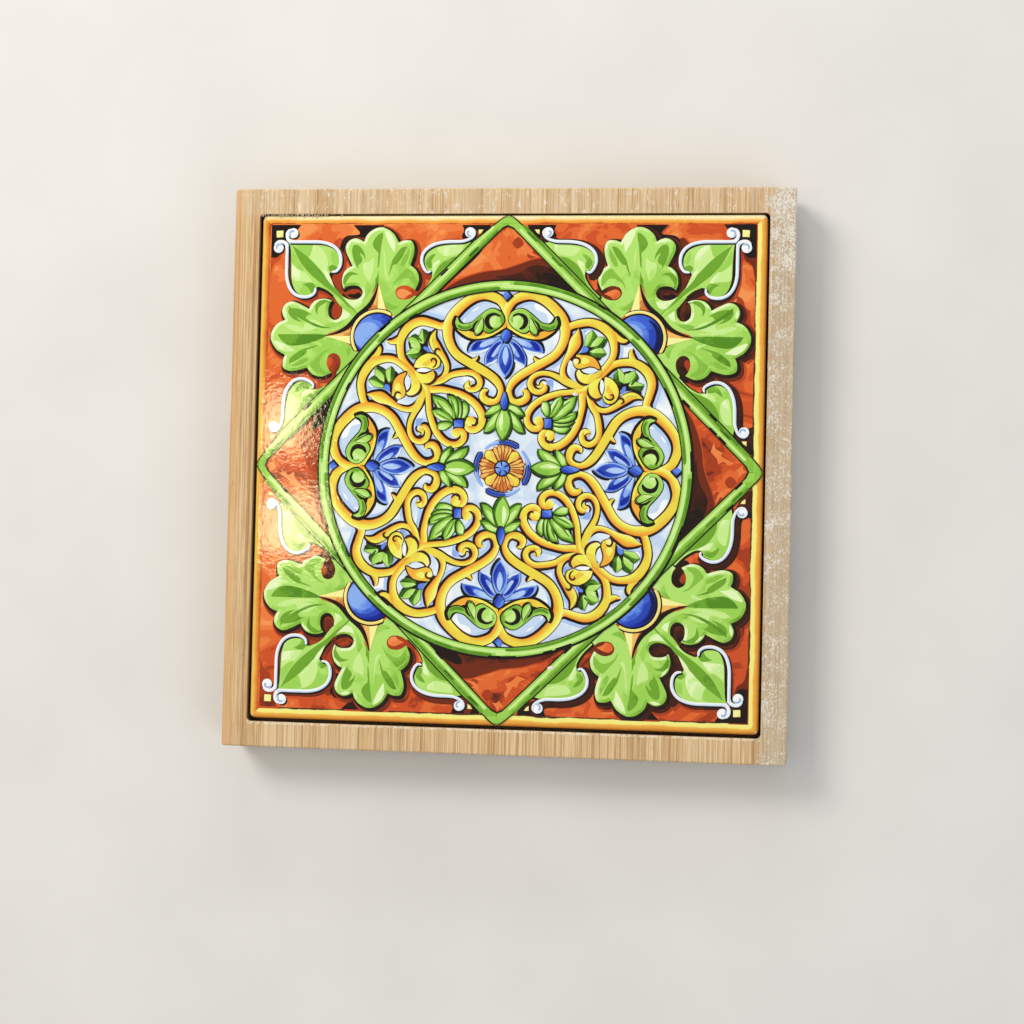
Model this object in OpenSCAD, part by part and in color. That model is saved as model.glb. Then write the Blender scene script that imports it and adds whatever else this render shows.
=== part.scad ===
// Square table trivet: a glazed decorative tile set flush into a pocket milled in a laminated bamboo board.
// The board stands on four rubber feet. Its strips run front to back, along Y.
// The origin is on the table, under the middle of the board.

/* [Board] */
// Width of the rails left standing on the tile's left and right
side_rail_w = 7.5; // [5.5:0.1:25]
// Width of the rails left standing at the tile's front and back
end_rail_w = 7.5; // [5.5:0.1:25]
// Thickness of the board
board_t = 13; // [11:0.5:20]
// Number of bamboo strips glued side by side
strip_count = 28; // [24:1:32]
// Radius of the board's four upright corners
corner_r = 1.2; // [0.8:0.1:6]
// Radius that eases the board's top and bottom edges
edge_r = 0.6; // [0.2:0.1:1.5]

/* [Pocket] */
// Mean gap between the pocket's wall and the tile
pocket_gap = 0.7; // [0.5:0.1:1.5]
// Radius that the cutter leaves in the pocket's corners
pocket_corner_r = 1.4; // [0.8:0.1:4]

/* [Tile] */
// Side of the square tile over its glaze
tile_w = 150; // [120:0.5:220]
// Thickness of the tile with its glaze
tile_t = 6; // [5:0.5:8]
// Radius of the tile's upright corners
tile_corner_r = 1.6; // [1.3:0.1:3]
// How far the tile sits right of the pocket's middle
tile_shift_x = 0.1; // [-0.4:0.1:0.4]
// How far the tile sits behind the pocket's middle
tile_shift_y = 0.3; // [-0.4:0.1:0.4]
// How far the tile's face stands above the board
tile_proud = 0; // [0:0.1:1]

/* [Glaze] */
// Thickness of the glaze on the face
glaze_t = 0.35; // [0.2:0.05:0.6]
// Thickness of the glaze where it runs down the sides
glaze_side_t = 0.25; // [0.1:0.05:0.4]
// How far down the sides the glaze runs
glaze_skirt_h = 2.2; // [1.5:0.1:3.5]
// Radius of the rounded edge of the glazed face
glaze_edge_r = 1.2; // [0.8:0.1:1.4]

/* [Tile back] */
// Number of keying recesses along each side of the tile's back
key_count = 8; // [4:1:12]
// Depth of a keying recess
key_depth = 0.6; // [0.3:0.1:1]
// Width of the rib between two recesses
key_rib_w = 3; // [2:0.5:5]
// Plain margin round the recesses
key_margin = 7; // [4:0.5:12]

/* [Adhesive] */
// Diameter of a squeezed adhesive dab
dab_d = 24; // [12:1:32]
// Thickness of the adhesive under the tile
dab_t = 0.8; // [0.4:0.1:1.2]
// Distance of the outer dabs from the tile's edge
dab_inset = 26; // [20:1:32]

/* [Feet] */
// Diameter of a foot where it meets the board
foot_d = 12; // [8:0.5:16]
// Diameter of a foot's flat underside
foot_tip_d = 9.4; // [6:0.2:11]
// Height of a foot under its adhesive disc
foot_h = 2.6; // [1.5:0.1:5]
// Radius round a foot's underside
foot_round_r = 0.7; // [0.3:0.1:1]
// Distance of a foot's middle from the board's edges
foot_inset = 13; // [11:0.5:25]
// Diameter of the adhesive disc on a foot
disc_d = 10.6; // [6:0.2:12]
// Thickness of the adhesive disc
disc_t = 0.3; // [0.1:0.1:0.6]

/* [Hidden] */
$fn = 64;
bamboo = "#d9b98a";
bamboo_dark = "#c9a470";
pocket_w = tile_w + 2 * pocket_gap;
board_w = pocket_w + 2 * side_rail_w;
board_l = pocket_w + 2 * end_rail_w;
strip_w = board_w / strip_count;
board_z = foot_h + disc_t;
board_top = board_z + board_t;
face_z = board_top + tile_proud;
tile_z = face_z - tile_t;
pocket_z = tile_z - dab_t;
body_w = tile_w - 2 * glaze_side_t;
body_t = tile_t - glaze_t;
body_corner_r = tile_corner_r - glaze_side_t;
body_edge_r = glaze_edge_r - glaze_side_t;
key_pitch = (body_w - 2 * key_margin + key_rib_w) / key_count;
dab_place = tile_w / 2 - dab_inset;
feet = [["front_left", -1, -1], ["front_right", 1, -1], ["rear_left", -1, 1], ["rear_right", 1, 1]];
// Extra length by which a cut passes the face that it opens
overrun = 1;

// Name of a strip, counted from the left
function strip_name(i) = str("bamboo_strip_", i < 10 ? "0" : "", i);

// Rectangle about the origin with round corners
module rounded_rect(w, l, r) {
    square([w - 2 * r, l], center = true);
    square([w, l - 2 * r], center = true);
    for (sx = [-1, 1], sy = [-1, 1])
        translate([sx * (w / 2 - r), sy * (l / 2 - r)]) circle(r = r);
}

// Upright section from z = 0 to t, with its two top corners round
module crowned_section(w, t, r) {
    translate([-w / 2, 0]) square([w, t - r]);
    translate([-w / 2 + r, 0]) square([w - 2 * r, t]);
    for (s = [-1, 1]) translate([s * (w / 2 - r), t - r]) circle(r = r);
}

// Slab of square plan that stands on z = 0, its upright corners round and its face's edges rolled over
module crowned_slab(w, t, plan_r, edge_radius) {
    intersection() {
        linear_extrude(t) rounded_rect(w, w, plan_r);
        for_both_ways() translate([0, w / 2, 0]) rotate([90, 0, 0])
            linear_extrude(w) crowned_section(w, t, edge_radius);
    }
}

// Common part of a shape and of its copy turned a quarter about Z
module for_both_ways() {
    intersection() {
        children();
        rotate([0, 0, 90]) children();
    }
}

// Board before its pocket is milled, all twelve edges eased
module board_blank() {
    translate([0, 0, board_z]) intersection() {
        linear_extrude(board_t) rounded_rect(board_w, board_l, corner_r);
        translate([0, board_l / 2, board_t / 2]) rotate([90, 0, 0])
            linear_extrude(board_l) rounded_rect(board_w, board_t, edge_r);
        translate([-board_w / 2, 0, board_t / 2]) rotate([90, 0, 90])
            linear_extrude(board_w) rounded_rect(board_l, board_t, edge_r);
    }
}

// Space that the cutter clears for the tile
module pocket() {
    translate([0, 0, pocket_z]) linear_extrude(board_top - pocket_z + overrun)
        rounded_rect(pocket_w, pocket_w, pocket_corner_r);
}

// One strip of the laminated board, with its share of the pocket
module bamboo_strip(i) {
    color(i % 3 == 1 ? bamboo_dark : bamboo) difference() {
        intersection() {
            board_blank();
            translate([-board_w / 2 + (i - 1) * strip_w, -board_l / 2, board_z])
                cube([strip_w, board_l, board_t]);
        }
        pocket();
    }
}

// Pressed clay body of the tile, with keying recesses in its back
module tile_body() {
    color("#d8c3a5") translate([tile_shift_x, tile_shift_y, tile_z]) difference() {
        crowned_slab(body_w, body_t, body_corner_r, body_edge_r);
        for (i = [0 : key_count - 1], j = [0 : key_count - 1])
            translate([-body_w / 2 + key_margin + i * key_pitch,
                       -body_w / 2 + key_margin + j * key_pitch, -overrun])
                cube([key_pitch - key_rib_w, key_pitch - key_rib_w, key_depth + overrun]);
    }
}

// Glaze over the face, rolled over the edge and a little way down the sides
module tile_glaze() {
    color("#e58a3c") translate([tile_shift_x, tile_shift_y, tile_z]) difference() {
        crowned_slab(tile_w, tile_t, tile_corner_r, glaze_edge_r);
        crowned_slab(body_w, body_t, body_corner_r, body_edge_r);
        translate([-tile_w / 2 - overrun, -tile_w / 2 - overrun, -overrun])
            cube([tile_w + 2 * overrun, tile_w + 2 * overrun, tile_t - glaze_skirt_h + overrun]);
    }
}

// Dab of adhesive squeezed flat, with a bulged rim
module dab() {
    rotate_extrude() {
        square([dab_d / 2 - dab_t / 2, dab_t]);
        intersection() {
            translate([dab_d / 2 - dab_t / 2, dab_t / 2]) circle(d = dab_t);
            square([dab_d / 2, dab_t]);
        }
    }
}

// Five dabs between the pocket's floor and the tile's back
module tile_adhesive() {
    color("#e9e4d6") translate([tile_shift_x, tile_shift_y, pocket_z]) {
        dab();
        for (sx = [-1, 1], sy = [-1, 1]) translate([sx * dab_place, sy * dab_place, 0]) dab();
    }
}

// Places its child over a foot's middle
module at_foot(f) {
    translate([f[1] * (board_w / 2 - foot_inset), f[2] * (board_l / 2 - foot_inset), 0]) children();
}

// Tapered rubber foot with a flat underside and a rounded lower rim
module foot(f) {
    color("#2b2a29") at_foot(f) rotate_extrude() {
        square([foot_tip_d / 2 - foot_round_r, foot_h]);
        translate([foot_tip_d / 2 - foot_round_r, foot_round_r]) intersection() {
            circle(r = foot_round_r);
            translate([0, -foot_round_r]) square(foot_round_r);
        }
        polygon([[0, foot_round_r], [foot_tip_d / 2, foot_round_r], [foot_d / 2, foot_h], [0, foot_h]]);
    }
}

// Double-sided adhesive disc between a foot and the board
module foot_disc(f) {
    color("#f0efe9") at_foot(f) translate([0, 0, foot_h]) cylinder(d = disc_d, h = disc_t);
}

for (i = [1 : strip_count])
    bamboo_strip(i);
tile_body();
tile_glaze();
tile_adhesive();
for (f = feet) {
    foot(f);
    foot_disc(f);
}
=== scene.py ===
"""Square glazed tile trivet: the looks of the tile, its painted ornament and its bamboo board."""

import logging
import math
import random
from collections.abc import Callable, Sequence
from dataclasses import dataclass, field
from enum import Enum
from functools import cache

import bmesh
import bpy
from mathutils import Matrix, Vector


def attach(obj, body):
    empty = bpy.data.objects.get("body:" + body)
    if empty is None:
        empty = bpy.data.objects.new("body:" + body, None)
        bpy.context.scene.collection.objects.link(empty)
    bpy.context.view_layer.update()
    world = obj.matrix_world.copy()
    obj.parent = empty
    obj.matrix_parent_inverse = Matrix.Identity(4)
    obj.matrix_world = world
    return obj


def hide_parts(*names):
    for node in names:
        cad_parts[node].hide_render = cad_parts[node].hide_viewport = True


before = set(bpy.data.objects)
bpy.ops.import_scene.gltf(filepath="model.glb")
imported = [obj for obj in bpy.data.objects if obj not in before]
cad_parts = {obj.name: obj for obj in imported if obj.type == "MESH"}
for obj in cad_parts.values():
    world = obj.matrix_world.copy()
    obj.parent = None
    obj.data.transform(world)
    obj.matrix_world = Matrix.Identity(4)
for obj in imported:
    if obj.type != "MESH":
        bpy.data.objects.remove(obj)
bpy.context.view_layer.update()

log = logging.getLogger("trivet")

MM = 0.001
TILE_SHIFT = (0.1, 0.3)
TILE_HALF = 75.0
GLAZE_FLAT_Z = 15.6
GLAZE_FOOT_Z = 13.7
GLAZE_EDGE_R = 1.2
TILE_CORNER_R = 1.6
MARK_STEP = 0.0011
MARK_DEPTH = 0.05
LEVEL_POINTS, LEVEL_ROSETTE, LEVEL_DIAMOND, LEVEL_RING, LEVEL_CHIPS = 2, 120, 205, 232, 244
CENTRE = (-0.7, 0.3)
RING_INNER_R = 53.4
SAMPLE = 0.42
TENTHS = 10
GLOSS_WAVE, GLOSS_PEEL = 3.0, 1.5
GLOSS_RELIEF = 0.000014
GLAZE_IOR = 1.42

Point = tuple[float, ...]
Stops = tuple[tuple[float, str], ...]
Socket = bpy.types.NodeSocket


def linear(code: str) -> tuple[float, float, float, float]:
    """Turns a written colour into linear light.

    Args:
        code: six hexadecimal digits, as on a paint chart.

    Returns:
        Red, green, blue and a full alpha in linear light.
    """
    parts = [int(code[i : i + 2], 16) / 255 for i in (0, 2, 4)]
    out = [p / 12.92 if p <= 0.04045 else ((p + 0.055) / 1.055) ** 2.4 for p in parts]
    return (out[0], out[1], out[2], 1.0)


class Graph:
    """Adds nodes to a node tree, so that a finish reads as a few lines."""

    def __init__(self, tree: bpy.types.NodeTree) -> None:
        """Keeps the tree that the nodes go into."""
        self.tree = tree

    def node(self, kind: str, inputs: dict | None = None, **settings: object) -> bpy.types.Node:
        """Makes one node.

        Args:
            kind: the node's type.
            inputs: socket name or number against a value or another node's output.
            settings: the node's own properties.

        Returns:
            The new node.
        """
        made = self.tree.nodes.new(kind)
        for key, value in settings.items():
            setattr(made, key, value)
        for key, value in (inputs or {}).items():
            self.feed(made.inputs[key], value)
        return made

    def feed(self, socket: Socket, value: object) -> None:
        """Links an output to a socket, or sets the socket's own value.

        Args:
            socket: the socket that is fed.
            value: an output, a plain value or a written colour.
        """
        if isinstance(value, Socket):
            self.tree.links.new(value, socket)
        else:
            socket.default_value = linear(value) if isinstance(value, str) else value

    def group(self, tree: bpy.types.NodeTree, inputs: dict) -> bpy.types.Node:
        """Places a shared group with its own values."""
        return self.node("ShaderNodeGroup", inputs, node_tree=tree)

    def math(self, how: str, *values: object, clamp: bool = False) -> Socket:
        """One sum on one to three values or outputs."""
        made = self.node("ShaderNodeMath", dict(enumerate(values)), operation=how, use_clamp=clamp)
        return made.outputs[0]

    def plus(self, first: object, second: object, clamp: bool = False) -> Socket:
        """The sum of two."""
        return self.math("ADD", first, second, clamp=clamp)

    def minus(self, first: object, second: object) -> Socket:
        """The first less the second."""
        return self.math("SUBTRACT", first, second)

    def times(self, first: object, second: object) -> Socket:
        """The product of two."""
        return self.math("MULTIPLY", first, second)

    def scaled(self, value: object, factor: object, added: object, clamp: bool = False) -> Socket:
        """A value times a factor, with something added."""
        return self.math("MULTIPLY_ADD", value, factor, added, clamp=clamp)

    def size(self, value: object) -> Socket:
        """A value without its sign."""
        return self.math("ABSOLUTE", value)

    def mix(self, share: object, first: object, second: object) -> Socket:
        """Mixes two colours by a share."""
        return self.node("ShaderNodeMix", {0: share, 6: first, 7: second}, data_type="RGBA").outputs[2]

    def ramp(self, share: object, stops: Stops) -> Socket:
        """A colour chart read at a share.

        Args:
            share: where to read it.
            stops: positions with written colours.

        Returns:
            The colour output.
        """
        made = self.node("ShaderNodeValToRGB", {0: share})
        elements = made.color_ramp.elements
        while len(elements) < len(stops):
            elements.new(1.0)
        for element, (place, code) in zip(elements, stops):
            element.position = place
            element.color = linear(code)
        return made.outputs[0]

    def step(self, value: object, low: float, high: float) -> Socket:
        """A smooth step between two values, which falls where the first is the greater.

        Args:
            value: what is compared.
            low: where the step is 0.
            high: where the step is 1.

        Returns:
            The step's output.
        """
        made = self.node("ShaderNodeMapRange", {0: value, 1: min(low, high), 2: max(low, high)},
                         interpolation_type="SMOOTHSTEP")
        if low > high:
            made.inputs[3].default_value, made.inputs[4].default_value = 1.0, 0.0
        return made.outputs[0]

    def place(self, scale: Point = (1.0, 1.0, 1.0), shift: Point = (0.0, 0.0, 0.0)) -> Socket:
        """Object coordinates in millimetres, scaled and then moved.

        Args:
            scale: factor along each axis.
            shift: how far they move after that.

        Returns:
            The vector output.
        """
        source = self.node("ShaderNodeTexCoord").outputs["Object"]
        mapped = {"Vector": source, "Scale": tuple(s / MM for s in scale), "Location": shift}
        return self.node("ShaderNodeMapping", mapped).outputs[0]

    def noise(self, vector: object, scale: object = 1.0, detail: float = 3.0, rough: float = 0.5,
              twist: float = 0.0) -> Socket:
        """Cloudy noise between 0 and 1."""
        made = self.node("ShaderNodeTexNoise", {"Vector": vector, "Scale": scale, "Detail": detail,
                                                "Roughness": rough, "Distortion": twist})
        return made.outputs[0]

    def split(self, vector: object) -> tuple[Socket, ...]:
        """The three parts of a vector."""
        made = self.node("ShaderNodeSeparateXYZ", {0: vector})
        return tuple(made.outputs)

    def bump(self, height: object, strength: float, distance: float) -> Socket:
        """A normal pushed by a height."""
        made = self.node("ShaderNodeBump", {"Height": height, "Strength": strength, "Distance": distance})
        return made.outputs[0]


def new_group(name: str, inputs: dict[str, float],
              outputs: dict[str, str]) -> tuple[Graph, bpy.types.Node, bpy.types.Node]:
    """Starts a shared shader group.

    Args:
        name: the group's name.
        inputs: float inputs with their first values.
        outputs: output names with their socket types.

    Returns:
        Its graph, its input node and its output node.
    """
    tree = bpy.data.node_groups.new(name, "ShaderNodeTree")
    for key, value in inputs.items():
        socket = tree.interface.new_socket(key, in_out="INPUT", socket_type="NodeSocketFloat")
        socket.default_value = value
    for key, kind in outputs.items():
        tree.interface.new_socket(key, in_out="OUTPUT", socket_type=kind)
    graph = Graph(tree)
    return graph, graph.node("NodeGroupInput"), graph.node("NodeGroupOutput")


def banded(stops: Stops) -> Stops:
    """Turns a chart into flat bands with narrow joins, as separate brush strokes leave.

    Args:
        stops: where each colour starts, with its written colour.

    Returns:
        The stops of the banded chart.
    """
    half_join = 0.018
    out = [stops[0]]
    for (_, before), (place, code) in zip(stops, stops[1:]):
        out += [(place - half_join, before), (min(place + half_join, 1.0), code)]
    return tuple(out)


@cache
def glossy_skin() -> bpy.types.NodeTree:
    """The fired glaze's surface: long soft waves with a fine orange peel.

    Returns:
        The shared group.
    """
    graph, given, out = new_group("Glossy skin", {"Wave": 0.5, "Peel": 0.5},
                                  {"Normal": "NodeSocketVector", "Roughness": "NodeSocketFloat"})
    wave = graph.noise(graph.place(), 0.055, 2.0, 0.4)
    peel = graph.noise(graph.place(), 0.7, 3.0, 0.55)
    grit = graph.noise(graph.place(), 1.6, 1.0, 0.5)
    fine = graph.times(graph.scaled(grit, 0.3, peel), given.outputs["Peel"])
    height = graph.plus(graph.times(wave, given.outputs["Wave"]), fine)
    graph.feed(out.inputs["Normal"], graph.bump(height, 1.0, GLOSS_RELIEF))
    smear = graph.noise(graph.place(), 0.11, 4.0, 0.6)
    graph.feed(out.inputs["Roughness"], graph.scaled(smear, 0.02, 0.01))
    return graph.tree


@cache
def brushwork() -> bpy.types.NodeTree:
    """The uneven tone that a loaded brush leaves.

    Returns:
        The shared group.
    """
    graph, given, out = new_group("Brushwork", {"Tone": 0.5, "Wander": 0.1, "Patch": 0.4},
                                  {"Tone": "NodeSocketFloat"})
    place = graph.place()
    broad = graph.noise(place, given.outputs["Patch"], 3.0, 0.55, 0.6)
    fine = graph.noise(place, 1.7, 2.0, 0.5)
    drift = graph.scaled(graph.minus(broad, 0.5), 2.6, graph.times(graph.minus(fine, 0.5), 0.5))
    tone = graph.scaled(drift, given.outputs["Wander"], given.outputs["Tone"], clamp=True)
    graph.feed(out.inputs["Tone"], tone)
    return graph.tree


@cache
def settled_dust() -> bpy.types.NodeTree:
    """Powdery specks gathered in drifts.

    Returns:
        The shared group.
    """
    graph, given, out = new_group("Settled dust", {"Amount": 0.3}, {"Mask": "NodeSocketFloat"})
    drift = graph.noise(graph.place(), 0.16, 3.0, 0.6)
    grain = graph.noise(graph.place((1.0, 0.7, 1.0)), 2.3, 3.0, 0.75)
    level = graph.plus(graph.times(drift, 0.32), graph.times(grain, 0.83))
    shown = graph.plus(level, graph.times(given.outputs["Amount"], 0.35))
    graph.feed(out.inputs["Mask"], graph.step(shown, 0.69, 0.8))
    return graph.tree


@cache
def long_grain() -> bpy.types.NodeTree:
    """Bamboo fibres along Y: tone, dark sap lines and fibre height.

    Returns:
        The shared group.
    """
    graph, given, out = new_group("Long grain", {"Line": 0.6},
                                  {name: "NodeSocketFloat" for name in ("Tone", "Lines", "Height")})
    band = graph.noise(graph.place((0.2, 0.006, 0.2)), 1.0, 2.0, 0.5)
    streak = graph.noise(graph.place((1.5, 0.02, 1.5)), 1.0, 3.0, 0.6)
    fibre = graph.noise(graph.place((3.4, 0.07, 3.4)), 1.0, 3.0, 0.7)
    hair = graph.noise(graph.place((1.3, 0.003, 1.3), (13.0, 0.0, 4.0)), 1.0, 1.0, 0.4)
    thin = graph.step(graph.size(graph.minus(hair, 0.5)), 0.07, 0.014)
    broken = graph.step(graph.noise(graph.place((0.7, 0.03, 0.7)), 1.0, 2.0, 0.5), 0.34, 0.5)
    lines = graph.times(graph.times(thin, broken), given.outputs["Line"])
    tone = graph.plus(graph.times(band, 0.2), graph.times(streak, 0.36))
    graph.feed(out.inputs["Tone"], graph.plus(tone, graph.times(fibre, 0.48)))
    graph.feed(out.inputs["Lines"], lines)
    graph.feed(out.inputs["Height"], graph.minus(fibre, graph.times(lines, 0.8)))
    return graph.tree


def new_material(name: str) -> tuple[bpy.types.Material, Graph, bpy.types.Node]:
    """An empty material with its shader.

    Args:
        name: the finish's name.

    Returns:
        The material, its graph and its Principled BSDF.
    """
    made = bpy.data.materials.new(name)
    made.use_nodes = True
    shader = next(n for n in made.node_tree.nodes if n.type == "BSDF_PRINCIPLED")
    return made, Graph(made.node_tree), shader


class Enamel(Enum):
    """The painted colours, each a chart from the lit side to the shaded side."""

    SCROLL = "scroll_gold"
    SCROLL_INK = "scroll_ink"
    INK = "outline_ink"
    LEAF = "leaf_green"
    LOTUS = "lotus_blue"
    SKY = "sky_wash"
    EARTH = "terracotta"
    PEARL = "pearl_edge"
    COLLAR = "collar_cream"
    BARE = "bare_chip"


SCROLL, SCROLL_INK, INK, LEAF, LOTUS, SKY, EARTH, PEARL, COLLAR, BARE = Enamel


@dataclass(frozen=True)
class EnamelFinish:
    """One painted colour of the glaze."""

    name: str
    stops: Stops
    wander: float = 0.06
    patch: float = 0.35
    peel: float = GLOSS_PEEL

    @cache
    def material(self) -> bpy.types.Material:
        """Builds the finish, once for all its marks.

        Returns:
            The material.
        """
        made, graph, shader = new_material(f"Enamel {self.name}")
        told = graph.split(graph.node("ShaderNodeAttribute", attribute_name="paint").outputs["Vector"])
        brush = graph.group(brushwork(), {"Tone": told[0], "Wander": self.wander, "Patch": self.patch})
        graph.feed(shader.inputs["Base Color"], graph.ramp(brush.outputs["Tone"], banded(self.stops)))
        dress_gloss(graph, shader, self.peel)
        return made


def dress_gloss(graph: Graph, shader: bpy.types.Node, peel: float = GLOSS_PEEL) -> None:
    """Gives a shader the fired gloss that every colour of the tile shares.

    Args:
        graph: the material's graph.
        shader: the material's shader.
        peel: how deep its orange peel is.
    """
    skin = graph.group(glossy_skin(), {"Wave": GLOSS_WAVE, "Peel": peel})
    for name in ("Normal", "Roughness"):
        graph.feed(shader.inputs[name], skin.outputs[name])
    shader.inputs["IOR"].default_value = GLAZE_IOR


EARTH_STOPS = ((0.0, "F0924E"), (0.15, "E97C3C"), (0.3, "DE672A"), (0.48, "CB4F1D"), (0.64, "A43A10"),
               (0.77, "6E2606"), (0.88, "3E1602"), (0.95, "180800"))
ENAMELS: dict[Enamel, EnamelFinish] = {
    SCROLL: EnamelFinish("scroll gold", (
        (0.0, "F5F3B4"), (0.1, "F3F07E"), (0.25, "EFEA56"), (0.43, "EBD748"), (0.57, "EAC440"),
        (0.68, "F0AC34"), (0.85, "E9942A")), 0.09, 0.2),
    SCROLL_INK: EnamelFinish("scroll ink", (
        (0.0, "6A2C10"), (0.3, "44180A"), (0.55, "280E06"), (0.8, "120502")), 0.2, 0.3),
    INK: EnamelFinish("outline ink", ((0.0, "321406"), (0.35, "160A02"), (0.7, "060402")), 0.2, 0.25),
    LEAF: EnamelFinish("leaf green", (
        (0.0, "E2F6BC"), (0.1, "C8EC90"), (0.23, "B0E06C"), (0.37, "9BD153"), (0.5, "85BD3F"),
        (0.62, "6DA52A"), (0.76, "528A16"), (0.9, "345E0A"), (0.97, "1E3806")), 0.11, 0.17),
    LOTUS: EnamelFinish("lotus blue", (
        (0.0, "DCEAFB"), (0.12, "AFCCF9"), (0.26, "88ADF1"), (0.4, "5F88E6"), (0.54, "3A60D0"),
        (0.68, "2342B2"), (0.82, "0C2298"), (0.95, "060E46")), 0.05, 0.4),
    SKY: EnamelFinish("sky wash", (
        (0.0, "F3F9FC"), (0.25, "DFECF8"), (0.45, "C6DAF3"), (0.6, "AEC8F1"), (0.75, "8FAAE6"),
        (0.9, "6C8ADA")), 0.05, 0.3),
    EARTH: EnamelFinish("terracotta", EARTH_STOPS, 0.07, 0.16),
    PEARL: EnamelFinish("pearl edge", (
        (0.0, "F7FAFC"), (0.36, "E3EDF8"), (0.6, "C0D3EC"), (0.85, "9CB5DC")), 0.08, 0.3),
    COLLAR: EnamelFinish("collar cream", (
        (0.0, "F4F29C"), (0.3, "F2DC78"), (0.6, "EDBB62"), (0.85, "CC7A34")), 0.06, 0.4),
    BARE: EnamelFinish("bare chip", ((0.0, "F4F1EA"), (0.5, "D9D2C6")), 0.5, 1.2, 3.0),
}


def read(path: str | Sequence[Point]) -> list[tuple[Point, bool]]:
    """Reads a drawn path.

    Args:
        path: words of x,y or x,y,width in tenths of a millimetre, with ! after a sharp corner, or else
            smooth points in millimetres.

    Returns:
        The points in millimetres, each with a flag that says whether it is a sharp corner.
    """
    if not isinstance(path, str):
        return [(tuple(p), False) for p in path]
    out = []
    for word in path.split():
        numbers = tuple(float(n) / TENTHS for n in word.rstrip("!").split(","))
        out.append((numbers, word.endswith("!")))
    return out


def curve_run(points: Sequence[Point], closed: bool) -> list[Point]:
    """Samples a smooth curve through the points, without its last point.

    Args:
        points: the points it passes, each with the same number of values.
        closed: whether the curve returns to its first point.

    Returns:
        The sampled points.
    """
    count = len(points)
    runs = count if closed else count - 1
    out: list[Point] = []
    for i in range(runs):
        if closed:
            p0, p1, p2, p3 = (points[(i + k - 1) % count] for k in range(4))
        else:
            p1, p2 = points[i], points[i + 1]
            before, after = points[max(i - 1, 0)], points[min(i + 2, count - 1)]
            p0 = before if i else tuple(2 * a - b for a, b in zip(p1, p2))
            p3 = after if i + 2 < count else tuple(2 * b - a for a, b in zip(p1, p2))
        span = math.dist(p1[:2], p2[:2])
        steps = max(1, round(span / SAMPLE))
        for k in range(steps):
            t = k / steps
            out.append(tuple(
                0.5 * (2 * b + (c - a) * t + (2 * a - 5 * b + 4 * c - d) * t * t
                       + (3 * b - a - 3 * c + d) * t ** 3)
                for a, b, c, d in zip(p0, p1, p2, p3)))
    return out


def smooth(path: str | Sequence[Point], closed: bool) -> list[Point]:
    """Samples a drawn path, smooth everywhere but at its sharp corners.

    Args:
        path: the path, as read takes it.
        closed: whether it returns to its first point.

    Returns:
        The sampled points.
    """
    marked = read(path)
    corners = [i for i, (_, sharp) in enumerate(marked) if sharp]
    points = [p for p, _ in marked]
    if closed and not corners:
        return curve_run(points, True)
    if closed:
        first = corners[0]
        points = points[first:] + points[: first + 1]
        corners = [c - first for c in corners] + [len(points) - 1]
    else:
        corners = sorted({0, *corners, len(points) - 1})
    out: list[Point] = []
    for a, b in zip(corners, corners[1:]):
        out += curve_run(points[a : b + 1], False)
    return out if closed else [*out, points[-1]]


def arc(radius: float, start: float, end: float, centre: Point = CENTRE, width: float | None = None,
        count: int = 24) -> list[Point]:
    """Points on an arc.

    Args:
        radius: in millimetres.
        start: first angle in degrees, from +X towards +Y.
        end: last angle in degrees.
        centre: the arc's centre.
        width: a width that each point carries, or None.
        count: how many spans.

    Returns:
        The points.
    """
    out = []
    for k in range(count + 1):
        a = math.radians(start + (end - start) * k / count)
        p = (centre[0] + radius * math.cos(a), centre[1] + radius * math.sin(a))
        out.append(p if width is None else (*p, width))
    return out


Place = Callable[[Point], Point]


def turned(quarter: int) -> Place:
    """A place function that turns a point about the ornament's centre.

    Args:
        quarter: how many quarter turns clockwise.

    Returns:
        The place function.
    """
    a = -math.pi / 2 * quarter
    c, s = round(math.cos(a)), round(math.sin(a))

    def place(p: Point) -> Point:
        """Turns one point."""
        x, y = p[0] - CENTRE[0], p[1] - CENTRE[1]
        return (CENTRE[0] + c * x - s * y, CENTRE[1] + s * x + c * y, *p[2:])

    return place


def flipped(across: float, up: float, swap: bool, centre: Point) -> Place:
    """A place function that mirrors a point of the upper right quarter into another quarter.

    Args:
        across: 1 keeps X and -1 mirrors it.
        up: 1 keeps Y and -1 mirrors it.
        swap: whether X and Y change places first.
        centre: the point that the mirrors pass through.

    Returns:
        The place function.
    """
    def place(p: Point) -> Point:
        """Mirrors one point."""
        x, y = p[0] - centre[0], p[1] - centre[1]
        if swap:
            x, y = y, x
        return (centre[0] + across * x, centre[1] + up * y, *p[2:])

    return place


def glaze_height(x: float, y: float) -> float:
    """The glaze's height with its rounded rim.

    Args:
        x: place on the tile from its middle, in millimetres.
        y: the same along Y.

    Returns:
        The height in millimetres.
    """
    over = max(abs(x), abs(y)) - (TILE_HALF - GLAZE_EDGE_R)
    if over <= 0:
        return GLAZE_FLAT_Z
    over = min(over, GLAZE_EDGE_R)
    return GLAZE_FLAT_Z - GLAZE_EDGE_R + math.sqrt(GLAZE_EDGE_R ** 2 - over ** 2)


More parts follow.
